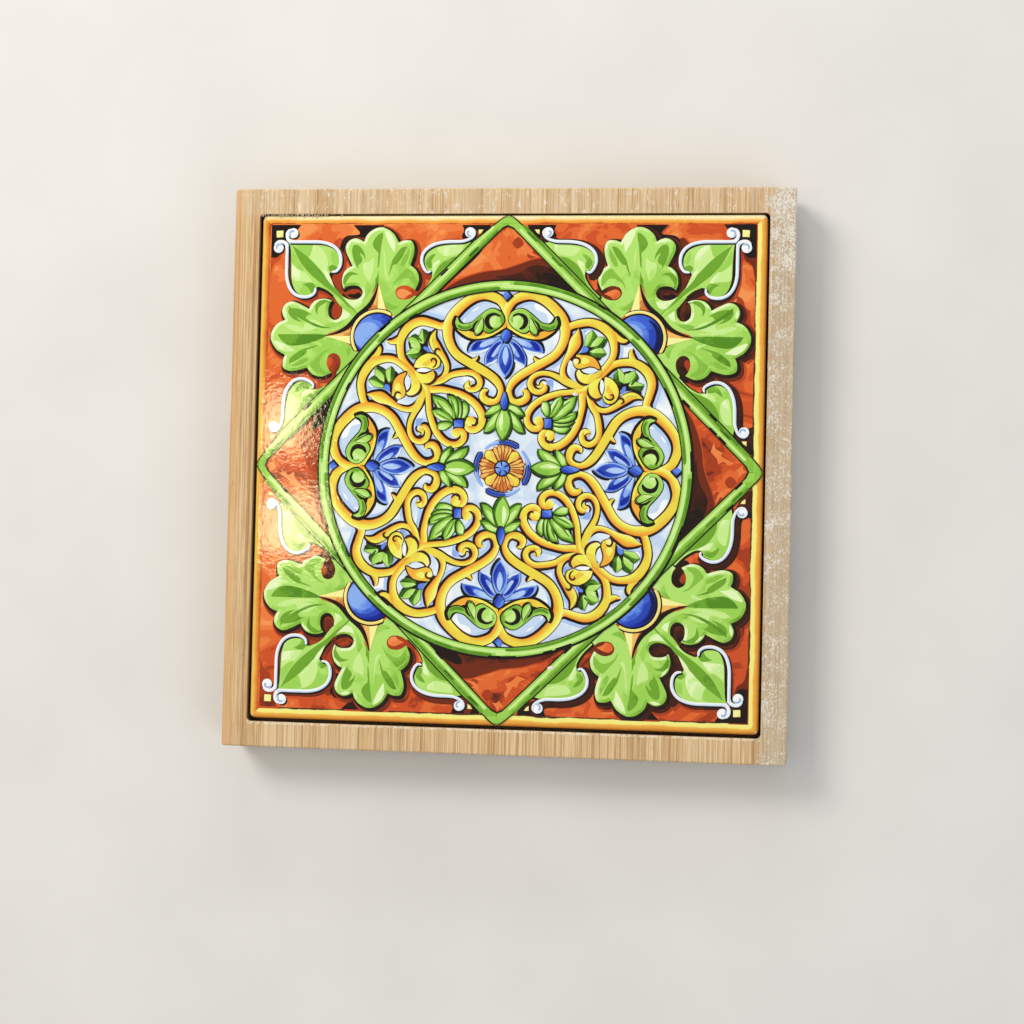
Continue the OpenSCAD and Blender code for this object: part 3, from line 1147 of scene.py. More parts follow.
@dataclass
class Rosette:
    """The flower wheel in the middle, with its broken blue ring."""

    centre: Point = (-0.8, 0.3)
    hub_r: float = 2.1
    disc_r: float = 6.8
    ring_r: float = 7.75
    petals: int = 32
    fold: tuple[Point, ...] = ((3.6, 0.75), (5.4, 1.1), (6.2, 0.9), (5.2, 0.3), (3.8, 0.1))

    def petal(self, a: float, half: float, reach: float) -> list[Point]:
        """The outline of one petal.

        Args:
            a: its angle in degrees.
            half: half its breadth in degrees.
            reach: how far out it goes.

        Returns:
            The points.
        """
        inner = self.hub_r + 0.2
        shape = ((inner, -0.4), (reach * 0.6, -0.8), (reach * 0.8, -1.0), (reach * 0.93, -0.6), (reach, 0.0),
                 (reach * 0.93, 0.6), (reach * 0.8, 1.0), (reach * 0.6, 0.8), (inner, 0.4))
        return [self._at(r, a + half * k) for r, k in shape]

    def build(self) -> bpy.types.Object:
        """Paints the rosette.

        Returns:
            Its piece.
        """
        rng = random.Random(3)
        p = Painter("rosette", (-0.7, 0.7), LEVEL_ROSETTE)
        for k in range(4):
            start = 134 - 90 * k
            blue = arc(self.ring_r, start, start - 82, self.centre, 1.05, 20)
            p.line(INK, [(x, y, 2.0 * min(1.0, 0.1 + i / 13)) for i, (x, y, _) in enumerate(blue)],
                   tones=(0.5, 0.7))
            p.line(LOTUS, [(x, y, w * min(1.0, 0.6 + i / 12)) for i, (x, y, w) in enumerate(blue)],
                   tones=(0.16, 0.4))
            p.line(LOTUS, arc(self.ring_r, start - 34, start - 83, self.centre, 0.95, 12), tones=(0.62, 0.84))
        p.area(EARTH, arc(self.disc_r - 0.3, 0, 345, self.centre, count=23), (0.66, 0.84))
        step = 360 / self.petals
        for k in range(self.petals):
            a = k * step
            big = k % 8 == 4
            if k % 8 in (3, 5):
                continue
            reach = self.disc_r + rng.uniform(-0.5, 0.2)
            path = self.petal(a + rng.uniform(-1.2, 1.2), step * (1.3 if big else 0.5), reach)
            p.line(EARTH, path, 0.5, closed=True, tones=(0.7, 0.88))
            if not big:
                tone = rng.uniform(0.55, 0.8)
                p.area(COLLAR, path, (tone, tone + 0.25))
                continue
            p.area(SCROLL, path, (0.34, 0.6))
            shade = -step if math.sin(math.radians(a - 135)) < 0.1 else step
            fold = [self._at(r, a + shade * h) for r, h in self.fold]
            p.area(COLLAR, [self._at(self.hub_r, a), *fold], (0.6, 0.86))
        p.area(INK, arc(self.hub_r + 0.35, 0, 330, self.centre, count=11), (0.5, 0.7))
        p.area(LOTUS, arc(self.hub_r - 0.1, 0, 330, self.centre, count=11), (0.3, 0.56))
        for a in (30, 100, 172, 244, 316):
            p.line(INK, [(*self._at(r, a), w) for r, w in ((0.5, 0.2), (1.3, 0.4), (2.1, 0.7))],
                   tones=(0.5, 0.6))
        return p.done()

    def _at(self, radius: float, angle: float) -> Point:
        """A point about the rosette's centre."""
        a = math.radians(angle)
        return (self.centre[0] + radius * math.cos(a), self.centre[1] + radius * math.sin(a))


def beyond(path: Sequence[Point], radius: float) -> list[Point]:
    """Pushes points out of a circle about the ornament's centre.

    Args:
        path: the points.
        radius: the circle's radius.

    Returns:
        The moved points.
    """
    out = []
    for p in path:
        x, y = p[0] - CENTRE[0], p[1] - CENTRE[1]
        far = math.hypot(x, y)
        k = max(1.0, radius / far)
        out.append((CENTRE[0] + x * k, CENTRE[1] + y * k, *p[2:]))
    return out


@dataclass
class Corners:
    """The foliage outside the ring: one drawing mirrored into four quarters under one light."""

    light: Point = (-0.7, 0.7)
    centre: Point = (-0.4, 0.2)
    edge: str = (
        "273,527! 268,538 262,555 265,575 275,590 289,600! 280,630 278,650 282,665 290,674 310,674 325,668! "
        "332,680 340,693 355,705 372,713! 390,712 410,702 423,688 430,670! 445,678 460,680 475,673 484,660 "
        "485,645 477,625 463,598! 475,593 488,580 494,560 493,542 488,529! 480,536 463,540 442,537 431,522 "
        "435,507 450,498 467,498 483,503 503,516!")
    foot: str = (
        " 496,496! 470,470 451,451! 432,467 416,483 403,504 392,536! 382,548! 374,516 364,486 352,466! "
        "330,444! 260,502! 272,510 286,502 304,498 322,502 332,518 326,534 312,540 298,540 285,535")
    patches: tuple[tuple[str, float], ...] = (
        ("293,652! 292,634 299,613 310,596! 318,600 314,618 304,634", 0.52),
        ("299,656! 311,655 321,648 333,632 343,616 348,598 356,564! 346,588 340,602 332,603 320,617 "
         "310,632", 0.72),
        ("424,615! 427,632 436,650 450,661 462,660 466,646 463,626 457,608 445,588! 446,600 437,608 434,619 "
         "442,636 432,629", 0.7),
        ("444,572! 459,579 475,579 487,568 491,552 487,538! 480,552 471,566 460,572", 0.7),
        ("272,538! 271,560 280,578 299,591 311,580 323,567 337,550 345,527! 339,536 331,549 311,561 293,561 "
         "282,548", 0.55),
        ("400,624! 412,612 431,603 427,572 411,552! 402,580 399,604", 0.16),
        ("334,670! 346,690 368,704 360,676 346,650 338,638!", 0.06),
        ("436,668! 450,677 468,674 452,667!", 0.02),
        ("466,596! 480,586 488,570 472,584!", 0.02),
        ("430,496! 439,478 455,473 473,483 493,503! 470,493 450,492", 0.07),
        ("322,478! 346,485 365,499! 361,479 349,469 334,469", 0.5),
        ("446,456! 464,478 494,503! 498,496! 472,470 453,451!", 0.62),
        ("404,534! 414,510 430,486! 424,506 423,530 416,550", 0.46),
        ("348,556! 362,586 366,630 372,660! 368,600 362,560", 0.2),
    )
    upright: tuple[tuple[str, float], ...] = (
        ("375,698! 373,688 376,670 379,650 381,624 384,598! 387,591 387,617 386,636 395,646 404,660 400,676 "
         "389,690", 0.7),
        ("384,584! 389,566 394,557 392,548 395,534 403,514! 393,530 384,550", 0.72),
    )
    sideways: tuple[tuple[str, float], ...] = (
        ("387,535! 388,600 387,692! 369,680 354,654 357,614 370,570", 0.76),
        ("406,526! 416,570 440,616 472,662! 452,652 424,606 408,566", 0.76),
        ("394,550! 402,600 416,646 414,676! 398,646 391,600", 0.2),
    )
    leaf_edge: str = (
        "504,514! 514,526 526,542 536,564 529,583! 514,585 504,600 503,623 514,644 532,658 560,666 600,666 "
        "640,666 662,670! 654,655 651,620 650,580 647,552 637,526 620,512 600,507 585,514 583,529 564,536! "
        "540,526 524,514 512,502!")
    rim_line: str = ("661,670,9 640,670,9.2 600,670,9.5 560,669,9.5 530,661,9.5 510,646,9.5 500,624,9.5 "
                     "501,599,9 512,583,8 528,580,5.5")
    half_leaf: str = (
        "116,670! 140,667 180,666 210,661 232,648 247,632 250,614 242,594 233,584 224,586! 224,564 242,534 "
        "268,508! 240,490 180,550 80,650")
    half_rim: str = ("103,710,3 98,701,6 99,691,7 108,681,8 124,674,8.5 140,671,9 180,670,9.5 210,665,9.5 "
                     "235,653,9.5 251,635,9 255,613,9 248,592,8.5 237,580,7.5 225,583,5")
    ground_half: float = 72.1
    collar_r: float = 7.55
    ball_c: Point = (38.3, 38.8)
    ball_r: float = 6.7
    rim_w: float = 0.85
    shades: tuple[tuple[Enamel, str, Point], ...] = (
        (EARTH, "492,676! 506,682 518,672! 526,660 521,644! 513,626 517,594! 546,570 534,530 506,516 484,540 "
                "486,620", (0.82, 0.9)),
        (EARTH, "660,719! 718,719! 718,560 706,600 684,620 676,660", (0.8, 0.86)),
        (EARTH, "534,536 578,544 594,504 630,496 586,464 534,496 510,512", (0.62, 0.82)),
        (EARTH, "370,720! 464,720! 444,694 486,686 502,656 494,610 400,660", (0.95, 1.0)),
        (INK, "429,536 476,542 499,524 480,500 444,494 426,516", (0.4, 0.6)),
        (EARTH, "440,527 460,535 486,528 470,515 450,516", (0.82, 0.88)),
        (EARTH, "498,438 490,466 506,498 536,486 540,450 524,436", (0.8, 1.0)),
        (EARTH, "254,524 276,540 326,546 338,516 314,492 270,498", (0.8, 0.86)),
        (EARTH, "280,517! 300,527 316,530 328,520 322,506 306,501 300,508", (0.2, 0.36)),
        (EARTH, "534,258 548,284 548,332 516,342 490,314 494,274", (0.92, 1.0)),
        (EARTH, "532,286! 536,310 526,326 516,314", (0.68, 0.78)),
        (EARTH, "50,720! 136,720! 130,704 136,686 120,668 64,696", (0.96, 1.0)),
    )
    haloed: int = 4
    heart_patches: tuple[tuple[str, float], ...] = (
        ("538,604 554,646 590,662 620,646 594,610 556,576", 0.13),
        ("584,660! 636,662 618,624 596,626", 0.42),
        ("649,660! 624,612 592,574 550,540 514,514 464,468! 494,510 536,558 574,600 602,626", 0.7),
        ("616,588 644,614 648,580 644,556 612,552 586,552", 0.1),
        ("648,646! 648,608 626,586 610,584 628,614", 0.4),
        ("509,594! 526,602 535,596 537,630 536,588! 526,577 512,583", 0.66),
        ("508,612 516,636 530,642 528,614 518,604", 0.4),
        ("572,516! 574,534 586,548 614,544! 596,532 586,516", 0.64),
        ("530,546 546,568 550,588 536,576 516,532!", 0.08),
    )
    half_patches: tuple[tuple[str, float], ...] = (
        ("130,662! 174,659 208,650 186,628 140,638", 0.12),
        ("234,590! 244,608 234,626 214,634 226,614! 224,594", 0.64),
        ("134,628! 170,622 206,594 230,540 254,512! 200,546 150,600", 0.66),
        ("200,616 220,604 220,574 206,598", 0.08),
    )

    @staticmethod
    def winding(place: Place) -> float:
        """1 where a place function keeps the sense of turning and -1 where it mirrors it."""
        a, b, c = (Vector(place(q)[:2]) for q in ((0.0, 0.0), (1.0, 0.0), (0.0, 1.0)))
        return 1.0 if (b - a).cross(c - a) > 0 else -1.0

    def rim(self, p: Painter, path: str) -> None:
        """The edge of a leaf drawn clockwise, pale where it faces the light.

        Args:
            p: the painter.
            path: the edge, with the leaf on its right.
        """
        out = self.winding(p.place)
        p.line(LEAF, path, self.rim_w, (0.0, 0.6) if out > 0 else (0.6, 0.0), inset=-out * self.rim_w / 2,
               facing=True)

    def shadows(self, p: Painter, ease: float) -> None:
        """The deep browns that the foliage throws on the terracotta.

        Args:
            p: the painter.
            ease: how much paler they are where light falls in.
        """
        for enamel, path, _ in self.shades[: self.haloed]:
            p.area(enamel, path, (0.6 - ease, 0.66 - ease), shift=(0.5, -0.5), scale=1.07)
        for enamel, path, tones in self.shades:
            eased = ease if enamel is EARTH and tones[0] < 0.94 else 0.0
            p.area(enamel, path, (tones[0] - eased, tones[1] - eased))

    def cast(self, p: Painter, path: str, ease: float) -> None:
        """The shadow, paler by ease, and the ink of one leaf edge."""
        p.line(EARTH, path, 2.4, (0.86 - ease, 0.9 - ease), shift=1.2)
        p.line(INK, path, 1.3, (0.3, 0.45), shift=0.6)

    def palmette(self, p: Painter, veins: Sequence[tuple[str, float]]) -> None:
        """One palmette's colours.

        Args:
            p: the painter.
            veins: the patches that only its own side has.
        """
        p.area(LEAF, self.edge + self.foot, (0.24, 0.44))
        self.rim(p, self.edge)
        p.patches((*self.patches, *veins))

    def volute(self, p: Painter, x: float, y: float, radius: float, start: float) -> None:
        """A pearl curl with its blue-grey eye.

        Args:
            p: the painter.
            x: place of its middle.
            y: the same along Y.
            radius: its radius.
            start: where its inner line starts, in degrees.
        """
        a = math.radians(start)
        p.area(INK, arc(radius, 0, 330, (x, y), count=11), (0.6, 0.8), shift=(0.4, -0.4))
        p.area(PEARL, arc(radius, 0, 330, (x, y), count=11), (0.0, 0.5))
        inner = [(x + radius * k * math.cos(a + t), y + radius * k * math.sin(a + t), w) for k, t, w in
                 ((0.95, 0.0, 0.25), (0.72, 0.8, 0.4), (0.56, 1.7, 0.5), (0.4, 2.7, 0.5), (0.2, 3.6, 0.4))]
        p.line(PEARL, inner, tones=(0.86, 1.0), grow=0.12)

    def heart(self, p: Painter, place: Place, swapped: Place) -> None:
        """The leaf heart in the corner with its pearl edge and volutes.

        Args:
            p: the painter.
            place: puts the drawing into this corner.
            swapped: the same, with X and Y changed over.
        """
        p.at(place)
        p.area(LEAF, "446,452! 474,484 502,516! 520,508! 494,476 456,448!", (0.3, 0.5))
        p.area(LEAF, self.leaf_edge, (0.24, 0.42))
        p.patches(self.heart_patches)
        for go in (place, swapped):
            p.at(go)
            p.line(INK, self.rim_line, tones=(0.5, 0.7), grow=0.3, shift=0.45)
        for go in (place, swapped):
            p.at(go)
            self.volute(p, 64.6, 69.6, 1.5, -60.0)
            p.line(PEARL, "642,670,9 656,672,11 664,683,10 664,698,8.5 655,709,5", tones=(0.0, 0.7))
            p.line(PEARL, self.rim_line, tones=(0.05, 0.9))
        p.at(place)
        p.area(COLLAR, "677,704! 698,703! 697,683! 677,684!", (0.0, 0.4))

    def half_heart(self, p: Painter, ease: float) -> None:
        """Half a leaf heart beside a point of the diamond.

        Args:
            p: the painter.
            ease: how much paler its shadow is.
        """
        p.line(EARTH, self.half_rim, 3.2, (0.88 - ease, 0.94 - ease), shift=1.2)
        p.line(INK, self.half_leaf, 0.8, (0.4, 0.5), shift=0.3, closed=True)
        p.area(LEAF, self.half_leaf, (0.26, 0.44))
        p.patches(self.half_patches, 0.06)
        p.line(INK, self.half_rim, tones=(0.5, 0.7), grow=0.3, shift=0.45)
        self.volute(p, 11.2, 69.8, 1.5, -120.0)
        p.line(PEARL, self.half_rim, tones=(0.05, 0.9))
        p.area(COLLAR, "72,706! 86,706! 86,692! 79,696!", (0.1, 0.4))

    def spikes(self, p: Painter) -> None:
        """The gold spike between the ball and one palmette.

        Args:
            p: the painter.
        """
        p.line(INK, "384,546,2 388,526,6 396,504,9 408,483,12 423,467,14 439,453,15 453,438,14",
               tones=(0.5, 0.6))
        p.area(COLLAR, "357,462! 369,500 382,547! 384,500 386,460!", (0.12, 0.24))
        p.area(COLLAR, "384,460! 383,500 382,547! 390,506 406,466!", (0.72, 0.92))

    def ball(self, p: Painter, place: Place) -> None:
        """The blue ball behind the ring, with its cream collar.

        Args:
            p: the painter.
            place: puts the drawing into this corner.
        """
        p.at(place)
        collar = arc(self.collar_r, 122, -34, self.ball_c, 1.0, 16)
        p.line(INK, collar, tones=(0.3, 0.5), grow=0.7, shift=0.12)
        p.line(COLLAR, collar, tones=(0.0, 0.7))
        x, y = place(self.ball_c)[:2]
        p.at(lambda q: q)
        for grow, dx, dy, enamel, tones in ((0.55, 0.0, 0.0, INK, (0.6, 0.8)),
                                            (0.0, 0.0, 0.0, LOTUS, (0.5, 0.95)),
                                            (-0.8, -0.9, 0.1, LOTUS, (0.5, 0.8)),
                                            (-1.7, -1.9, 0.1, LOTUS, (0.44, 0.58)),
                                            (-2.6, -2.8, 0.2, LOTUS, (0.28, 0.44))):
            circle = arc(self.ball_r + grow, 0, 350, (x + dx, y + dy), count=35)
            p.area(enamel, beyond(circle, RING_INNER_R + 0.2), tones)
        night = [(a, b, 1.5 * math.sin(math.pi * (i + 0.5) / 19)) for i, (a, b) in
                 enumerate(arc(self.ball_r - 0.75, 62, -66, (x, y), count=18))]
        p.line(LOTUS, beyond(night, RING_INNER_R + 1.0), tones=(0.97, 1.0))

    def build(self) -> list[bpy.types.Object]:
        """Paints the four quarters.

        Returns:
            Their pieces.
        """
        pieces = []
        for name, across, up, ease in (("right_back", 1, 1, 0.0), ("left_back", -1, 1, 0.2),
                                       ("left_front", -1, -1, 0.1), ("right_front", 1, -1, -0.02)):
            place = flipped(across, up, False, self.centre)
            swapped = flipped(across, up, True, self.centre)
            both = (place, swapped)
            p = Painter(f"corner_foliage_{name}", self.light)
            p.fence = self.ground_half
            for go, path in ((place, self.edge), (swapped, self.edge), (place, self.leaf_edge)):
                p.at(go).line(EARTH, path, 3.2, (0.6 - ease, 0.66 - ease), shift=1.7)
            self.shadows(p.at(place), ease)
            if across > 0:
                p.area(EARTH, "720,50! 720,136! 704,130 686,136 668,120 696,64", (0.88, 0.96))
                p.area(EARTH, "664,514! 681,502 689,480! 704,468! 705,436 719,410! 719,330! 686,332 666,400 "
                              "662,460", (0.7, 0.8))
            if across > 0 or up > 0:
                p.area(EARTH, "622,722! 718,722! 718,624! 694,624 676,646 650,684", (0.97, 1.0))
            for go in both:
                self.cast(p.at(go), self.edge, ease)
            self.cast(p.at(place), self.leaf_edge, ease)
            for go, veins in zip(both, (self.upright, self.sideways)):
                self.palmette(p.at(go), veins)
            self.heart(p, place, swapped)
            for go in both:
                self.half_heart(p.at(go), 0.3 if across < 0 and go is swapped else ease)
            p.fence = math.inf
            for go in both:
                self.spikes(p.at(go))
            self.ball(p, place)
            log.info("painted corner %s with %d marks", name, p.level)
            pieces.append(p.done())
        return pieces


@dataclass
class Bands:
    """The green ring and the green diamond that cross round the medallion, and the diamond's points."""

    centre: Point = (-0.6, 0.3)
    light: Point = (-0.7, 0.7)
    ring_r: float = 53.8
    ring_w: float = 2.6
    reach: float = 74.6
    band_w: float = 3.0
    tip_reach: tuple[float, ...] = (74.2, 75.1, 74.7, 73.7)
    rim_start: float = 73.2
    mitre: float = 0.707
    spans: Point = (0.05, 0.07, 0.1, 0.2, 0.3, 0.36, 0.42, 0.5, 0.58, 0.64, 0.7, 0.8, 0.9, 0.93, 0.95)
    ring_strokes: tuple[tuple[float, float, float, float, Point], ...] = (
        (-0.35, 3, -44, 1.0, (0.14, 0.24)), (0.4, -42, -91, 0.9, (0.14, 0.24)),
        (0.75, -2, -46, 1.0, (0.7, 0.84)), (-0.8, -44, -88, 0.9, (0.7, 0.84)))

    def side(self, k: int, off: float, width: float, spans: Sequence[float]) -> list[Point]:
        """Points along one side of the diamond, pushed out from under the ring.

        Args:
            k: the side, clockwise from the one between the back and the right point.
            off: how far the points lie outside the side's middle.
            width: the width that they carry.
            spans: shares of the side.

        Returns:
            The points.
        """
        a = math.radians(90 - 90 * k)
        d, n = Vector((math.cos(a), math.sin(a))), Vector((math.sin(a), -math.cos(a)))
        out = []
        for t in spans:
            v = (d * (1 - t) + n * t) * self.reach
            if v.length < self.ring_r:
                v *= self.ring_r / v.length
            v += (d + n).normalized() * off
            out.append((self.centre[0] + v.x, self.centre[1] + v.y, width))
        return out

    @staticmethod
    def breadth(back: float) -> float:
        """Half the breadth of a rounded point of the diamond, back from its end."""
        return 1.05 * math.sqrt((back + 1.0) ** 2 - 1.0)

    def mitred(self, k: int, grow: float) -> str:
        """One side of the diamond, up to where the glaze's rim rounds off.

        Args:
            k: the side, clockwise from the one between the back and the right point.
            grow: how far its outline stands out.

        Returns:
            Its outline as a path.
        """
        half, end = self.band_w * self.mitre + grow, self.rim_start
        far, near = self.reach + half, self.reach - half
        first, last = (self.breadth(max(self.tip_reach[j % 4] - end, 0.2)) + grow for j in (k, k + 1))
        spots = ((0.0, near - 0.9), (0.0, end), (first, end), (10.0, far - 10.0), (far - 10.0, 10.0),
                 (end, last), (end, 0.0), (near - 0.9, 0.0), (near - 1.6, 1.6), (1.6, near - 1.6))
        return " ".join(f"{(self.centre[0] + x) * TENTHS:.1f},{(self.centre[1] + y) * TENTHS:.1f}!"
                        for x, y in spots)

    def tips(self, p: Painter, enamel: Enamel, tones: Point, grow: float) -> None:
        """The diamond's four rounded points on the rounded rim, as narrow strips.

        Args:
            p: the painter.
            enamel: their colour.
            tones: tone on the lit side and on the shaded side.
            grow: how far they stand out.
        """
        level = p.level
        for k, far in enumerate(self.tip_reach):
            p.at(turned(k)).level = level
            for i in range(6):
                back = 0.15 + 0.35 * i
                x, y = self.centre[0], self.centre[1] + far - back + min(grow, 0.15)
                half = self.breadth(back) + grow * 0.8
                p.line(enamel, [(x - half, y), (x, y), (x + half, y)], 0.6, tones, caps=False)

    def points(self, p: Painter, dark: bool, ease: float) -> None:
        """The shaded terracotta between a point of the diamond and the ring.

        Args:
            p: the painter.
            dark: whether its deepest part is nearly black.
            ease: how much paler it is where light falls in.
        """
        marks = (
            ("-190,525 -150,556 -80,580 -20,588 30,604 80,620 116,612 155,576 200,524! 100,540 0,550 "
             "-100,540", (0.8, 0.86)),
            ("-40,566 20,576 70,600 110,596 156,572 205,520! 120,535 "
             "40,550", (0.9, 0.96) if dark else (0.84, 0.88)),
            ("100,576 140,570 205,520! 130,535", (0.96, 1.0)),
            ("50,630 72,654 98,636 106,624 80,628 64,620", (0.66, 0.7)),
            ("6,666 24,684 40,664 22,650", (0.66, 0.7)),
            ("-90,616! -72,624 -62,644! -52,640 -32,676! -26,660 -36,646 -28,630! -44,626 -64,608!",
             (0.14, 0.24)),
            ("-26,700! -14,703 -8,714! -2,700 8,688! -4,689 -12,682!", (0.14, 0.24)),
            ("46,666! 54,652 70,646! 66,638 86,626! 64,629 50,638!", (0.16, 0.26)))
        p.area(EARTH, marks[0][0], (0.6 - ease, 0.66 - ease), scale=1.1)
        for path, tones in marks:
            eased = ease if tones[0] < 0.95 else 0.0
            p.area(EARTH, path, (max(tones[0] - eased, 0.05), max(tones[1] - eased, 0.15)))

    def build(self) -> list[bpy.types.Object]:
        """Paints the points, the diamond and the ring.

        Returns:
            Their pieces.
        """
        p = Painter("diamond_points", self.light, LEVEL_POINTS)
        for quarter in range(4):
            self.points(p.at(turned(quarter)), quarter < 2, 0.17 if quarter == 3 else 0.0)
        pieces = [p.done()]
        rng = random.Random(5)
        p = Painter("diamond_band", self.light, LEVEL_DIAMOND)
        for grow, enamel, tones in ((0.55, INK, (0.5, 0.7)), (0.0, LEAF, (0.42, 0.56))):
            level = p.level
            for k in range(4):
                p.level = level
                p.at(turned(k)).area(enamel, self.mitred(k, grow), tones, clear=RING_INNER_R)
            self.tips(p, enamel, tones, grow)
        p.at(lambda q: q)
        level = p.level
        for k, lit in enumerate((-1.0, -1.0, -1.0, 1.0)):
            p.level = level
            p.line(LEAF, self.side(k, 0.55 * lit, 0.85, self.spans), tones=(0.16, 0.24))
            p.line(LEAF, self.side(k, -0.95 * lit, 0.85, self.spans), tones=(0.7, 0.8))
            for start in (0.07, 0.17, 0.84):
                p.line(LEAF, self.side(k, -0.5 * lit, 0.6, (start, start + 0.02, start + 0.04)),
                       tones=(0.84, 0.94))
            for _ in range(5):
                start = rng.uniform(0.05, 0.9)
                p.line(INK, self.side(k, rng.choice((-1.3, 1.3)), rng.uniform(0.4, 0.7),
                                      (start, start + 0.015, start + 0.03)), tones=(0.4, 0.6))
        pieces.append(p.done())
        p = Painter("ring_band", self.light, LEVEL_RING)
        p.line(INK, self.round_ring(0.1, 0, 355, self.ring_w + 1.0, 71), tones=(0.5, 0.7), closed=True,
               shift=0.1)
        p.line(LEAF, self.round_ring(0.0, 0, 355, self.ring_w, 71), tones=(0.38, 0.5), closed=True)
        level = p.level
        for k in range(4):
            p.level = level
            turn = 90 - 90 * k
            for off, start, end, width, tones in self.ring_strokes:
                p.line(LEAF, self.round_ring(off, turn + start, turn + end, width, 30), tones=tones)
        level = p.level
        for _ in range(18):
            p.level = level
            start, span = rng.uniform(0, 360), rng.uniform(2.5, 7)
            off = rng.choice((-1.0, 1.0)) * (self.ring_w / 2 - 0.05)
            p.line(INK, self.round_ring(off, start, start + span, rng.uniform(0.4, 0.7), 8), tones=(0.4, 0.6))
        pieces.append(p.done())
        return pieces

    def round_ring(self, off: float, start: float, end: float, width: float, count: int) -> list[Point]:
        """An arc along the ring, off its middle line."""
        return arc(self.ring_r + off, start, end, self.centre, width, count)


@dataclass
class GlazeCap:
    """The glaze over the tile, with its ground colours painted in."""

    name: str = "glaze_cap"
    edge_steps: int = 6
    field_edge: Point = (53.6, 54.0)
    border_from: float = 71.0
    border_w: float = 4.2
    line_in: float = 71.6
    line_step: float = 0.8
    bare_clay: Point = (14.9, 14.4)
    sky: Stops = ((0.3, "C3D7F2"), (0.42, "CFE0F4"), (0.5, "DCE9F7"), (0.57, "EAF3FA"), (0.64, "F3F9FC"))
    shade_side: Stops = (
        (0.0, "7A3010"), (0.2, "2A1206"), (0.26, "F4F08A"), (0.5, "F3E87A"), (0.58, "EBAE46"),
        (0.8, "E39A38"), (1.0, "C47630"))
    back_side_with_rim_highlight: Stops = (
        # Along the back, the border's outer edge turns pale cream: partly the border's own pale edge, partly
        # a painted highlight where the rolled rim catches the light.
        (0.0, "B4501C"), (0.33, "9A3C12"), (0.39, "EE9A34"), (0.52, "F1A844"), (0.62, "F4D088"),
        (0.74, "F6E8A6"), (0.88, "F8F1CC"), (1.0, "F0E0A6"))
    left_side: Stops = (
        (0.0, "9A3810"), (0.31, "7E2A0C"), (0.37, "C0581F"), (0.52, "DC842E"), (0.7, "ECB046"),
        (0.86, "F0CE62"), (1.0, "CC9C44"))

    def finish(self) -> bpy.types.Material:
        """The ground: pale sky in the ring, terracotta outside it and a gold border.

        Returns:
            The material.
        """
        made, graph, shader = new_material("Painted glaze ground")
        spot = graph.place(shift=(-TILE_SHIFT[0], -TILE_SHIFT[1], 0.0))
        x, y, z = graph.split(spot)
        middle = (-TILE_SHIFT[0] - CENTRE[0], -TILE_SHIFT[1] - CENTRE[1], -15.0)
        far = graph.node("ShaderNodeVectorMath", {0: graph.place(shift=middle)}, operation="LENGTH")
        sky = graph.ramp(graph.noise(spot, 0.13, 2.0, 0.5, 0.4), banded(self.sky))
        blotch = graph.noise(graph.place((0.085, 0.1, 0.1)), 1.0, 3.0, 0.55, 0.9)
        slant = graph.times(graph.minus(x, y), 0.0012)
        deep = graph.plus(graph.scaled(graph.minus(blotch, 0.5), 1.6, 0.43), slant, clamp=True)
        earth = graph.ramp(deep, banded(EARTH_STOPS))
        ground = graph.mix(graph.step(far.outputs["Value"], *self.field_edge), sky, earth)
        ax, ay = graph.size(x), graph.size(y)
        edge = graph.math("SMOOTH_MAX", ax, ay, 2.0)
        wobble = graph.times(graph.minus(graph.noise(spot, 0.13, 3.0, 0.6), 0.5), 1.5)
        depth = graph.math("DIVIDE", graph.minus(graph.plus(edge, wobble), self.border_from), self.border_w)
        across = graph.math("GREATER_THAN", ax, ay)
        left = graph.times(across, graph.math("LESS_THAN", x, 0.0))
        back = graph.times(graph.minus(1.0, across), graph.math("GREATER_THAN", y, 0.0))
        sides = graph.mix(left, graph.ramp(depth, self.shade_side), graph.ramp(depth, self.left_side))
        border = graph.mix(back, sides, graph.ramp(depth, self.back_side_with_rim_highlight))
        inner = graph.minus(edge, graph.scaled(graph.plus(left, back), self.line_step, self.line_in))
        colour = graph.mix(graph.step(inner, -0.1, 0.1), ground, border)
        low = graph.step(z, *self.bare_clay)
        graph.feed(shader.inputs["Base Color"], graph.mix(low, colour, "B98B5C"))
        dress_gloss(graph, shader)
        return made

    def build(self) -> bpy.types.Object:
        """Builds the cap as one rounded slab in the place of the CAD glaze.

        Returns:
            The piece.
        """
        bm = bmesh.new()
        bmesh.ops.create_cube(bm, size=1.0)
        tall = GLAZE_FLAT_Z - GLAZE_FOOT_Z
        bmesh.ops.scale(bm, vec=(2 * TILE_HALF * MM, 2 * TILE_HALF * MM, tall * MM), verts=bm.verts)
        bmesh.ops.translate(bm, vec=(TILE_SHIFT[0] * MM, TILE_SHIFT[1] * MM, (GLAZE_FOOT_Z + tall / 2) * MM),
                            verts=bm.verts)
        uprights = [e for e in bm.edges if abs(e.verts[0].co.z - e.verts[1].co.z) > 1e-5]
        bmesh.ops.bevel(bm, geom=uprights, offset=TILE_CORNER_R * MM, segments=self.edge_steps, profile=0.5,
                        affect="EDGES", material=-1)
        top = max(v.co.z for v in bm.verts)
        rim = [e for e in bm.edges if all(abs(v.co.z - top) < 1e-7 for v in e.verts)]
        bmesh.ops.bevel(bm, geom=rim, offset=GLAZE_EDGE_R * MM, segments=self.edge_steps, profile=0.5,
                        affect="EDGES", material=-1)
        piece = mesh_piece(self.name, bm, self.finish())
        for face in piece.data.polygons:
            face.use_smooth = max(abs(c) for c in face.normal) < 0.9999
        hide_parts("tile_glaze")
        return piece

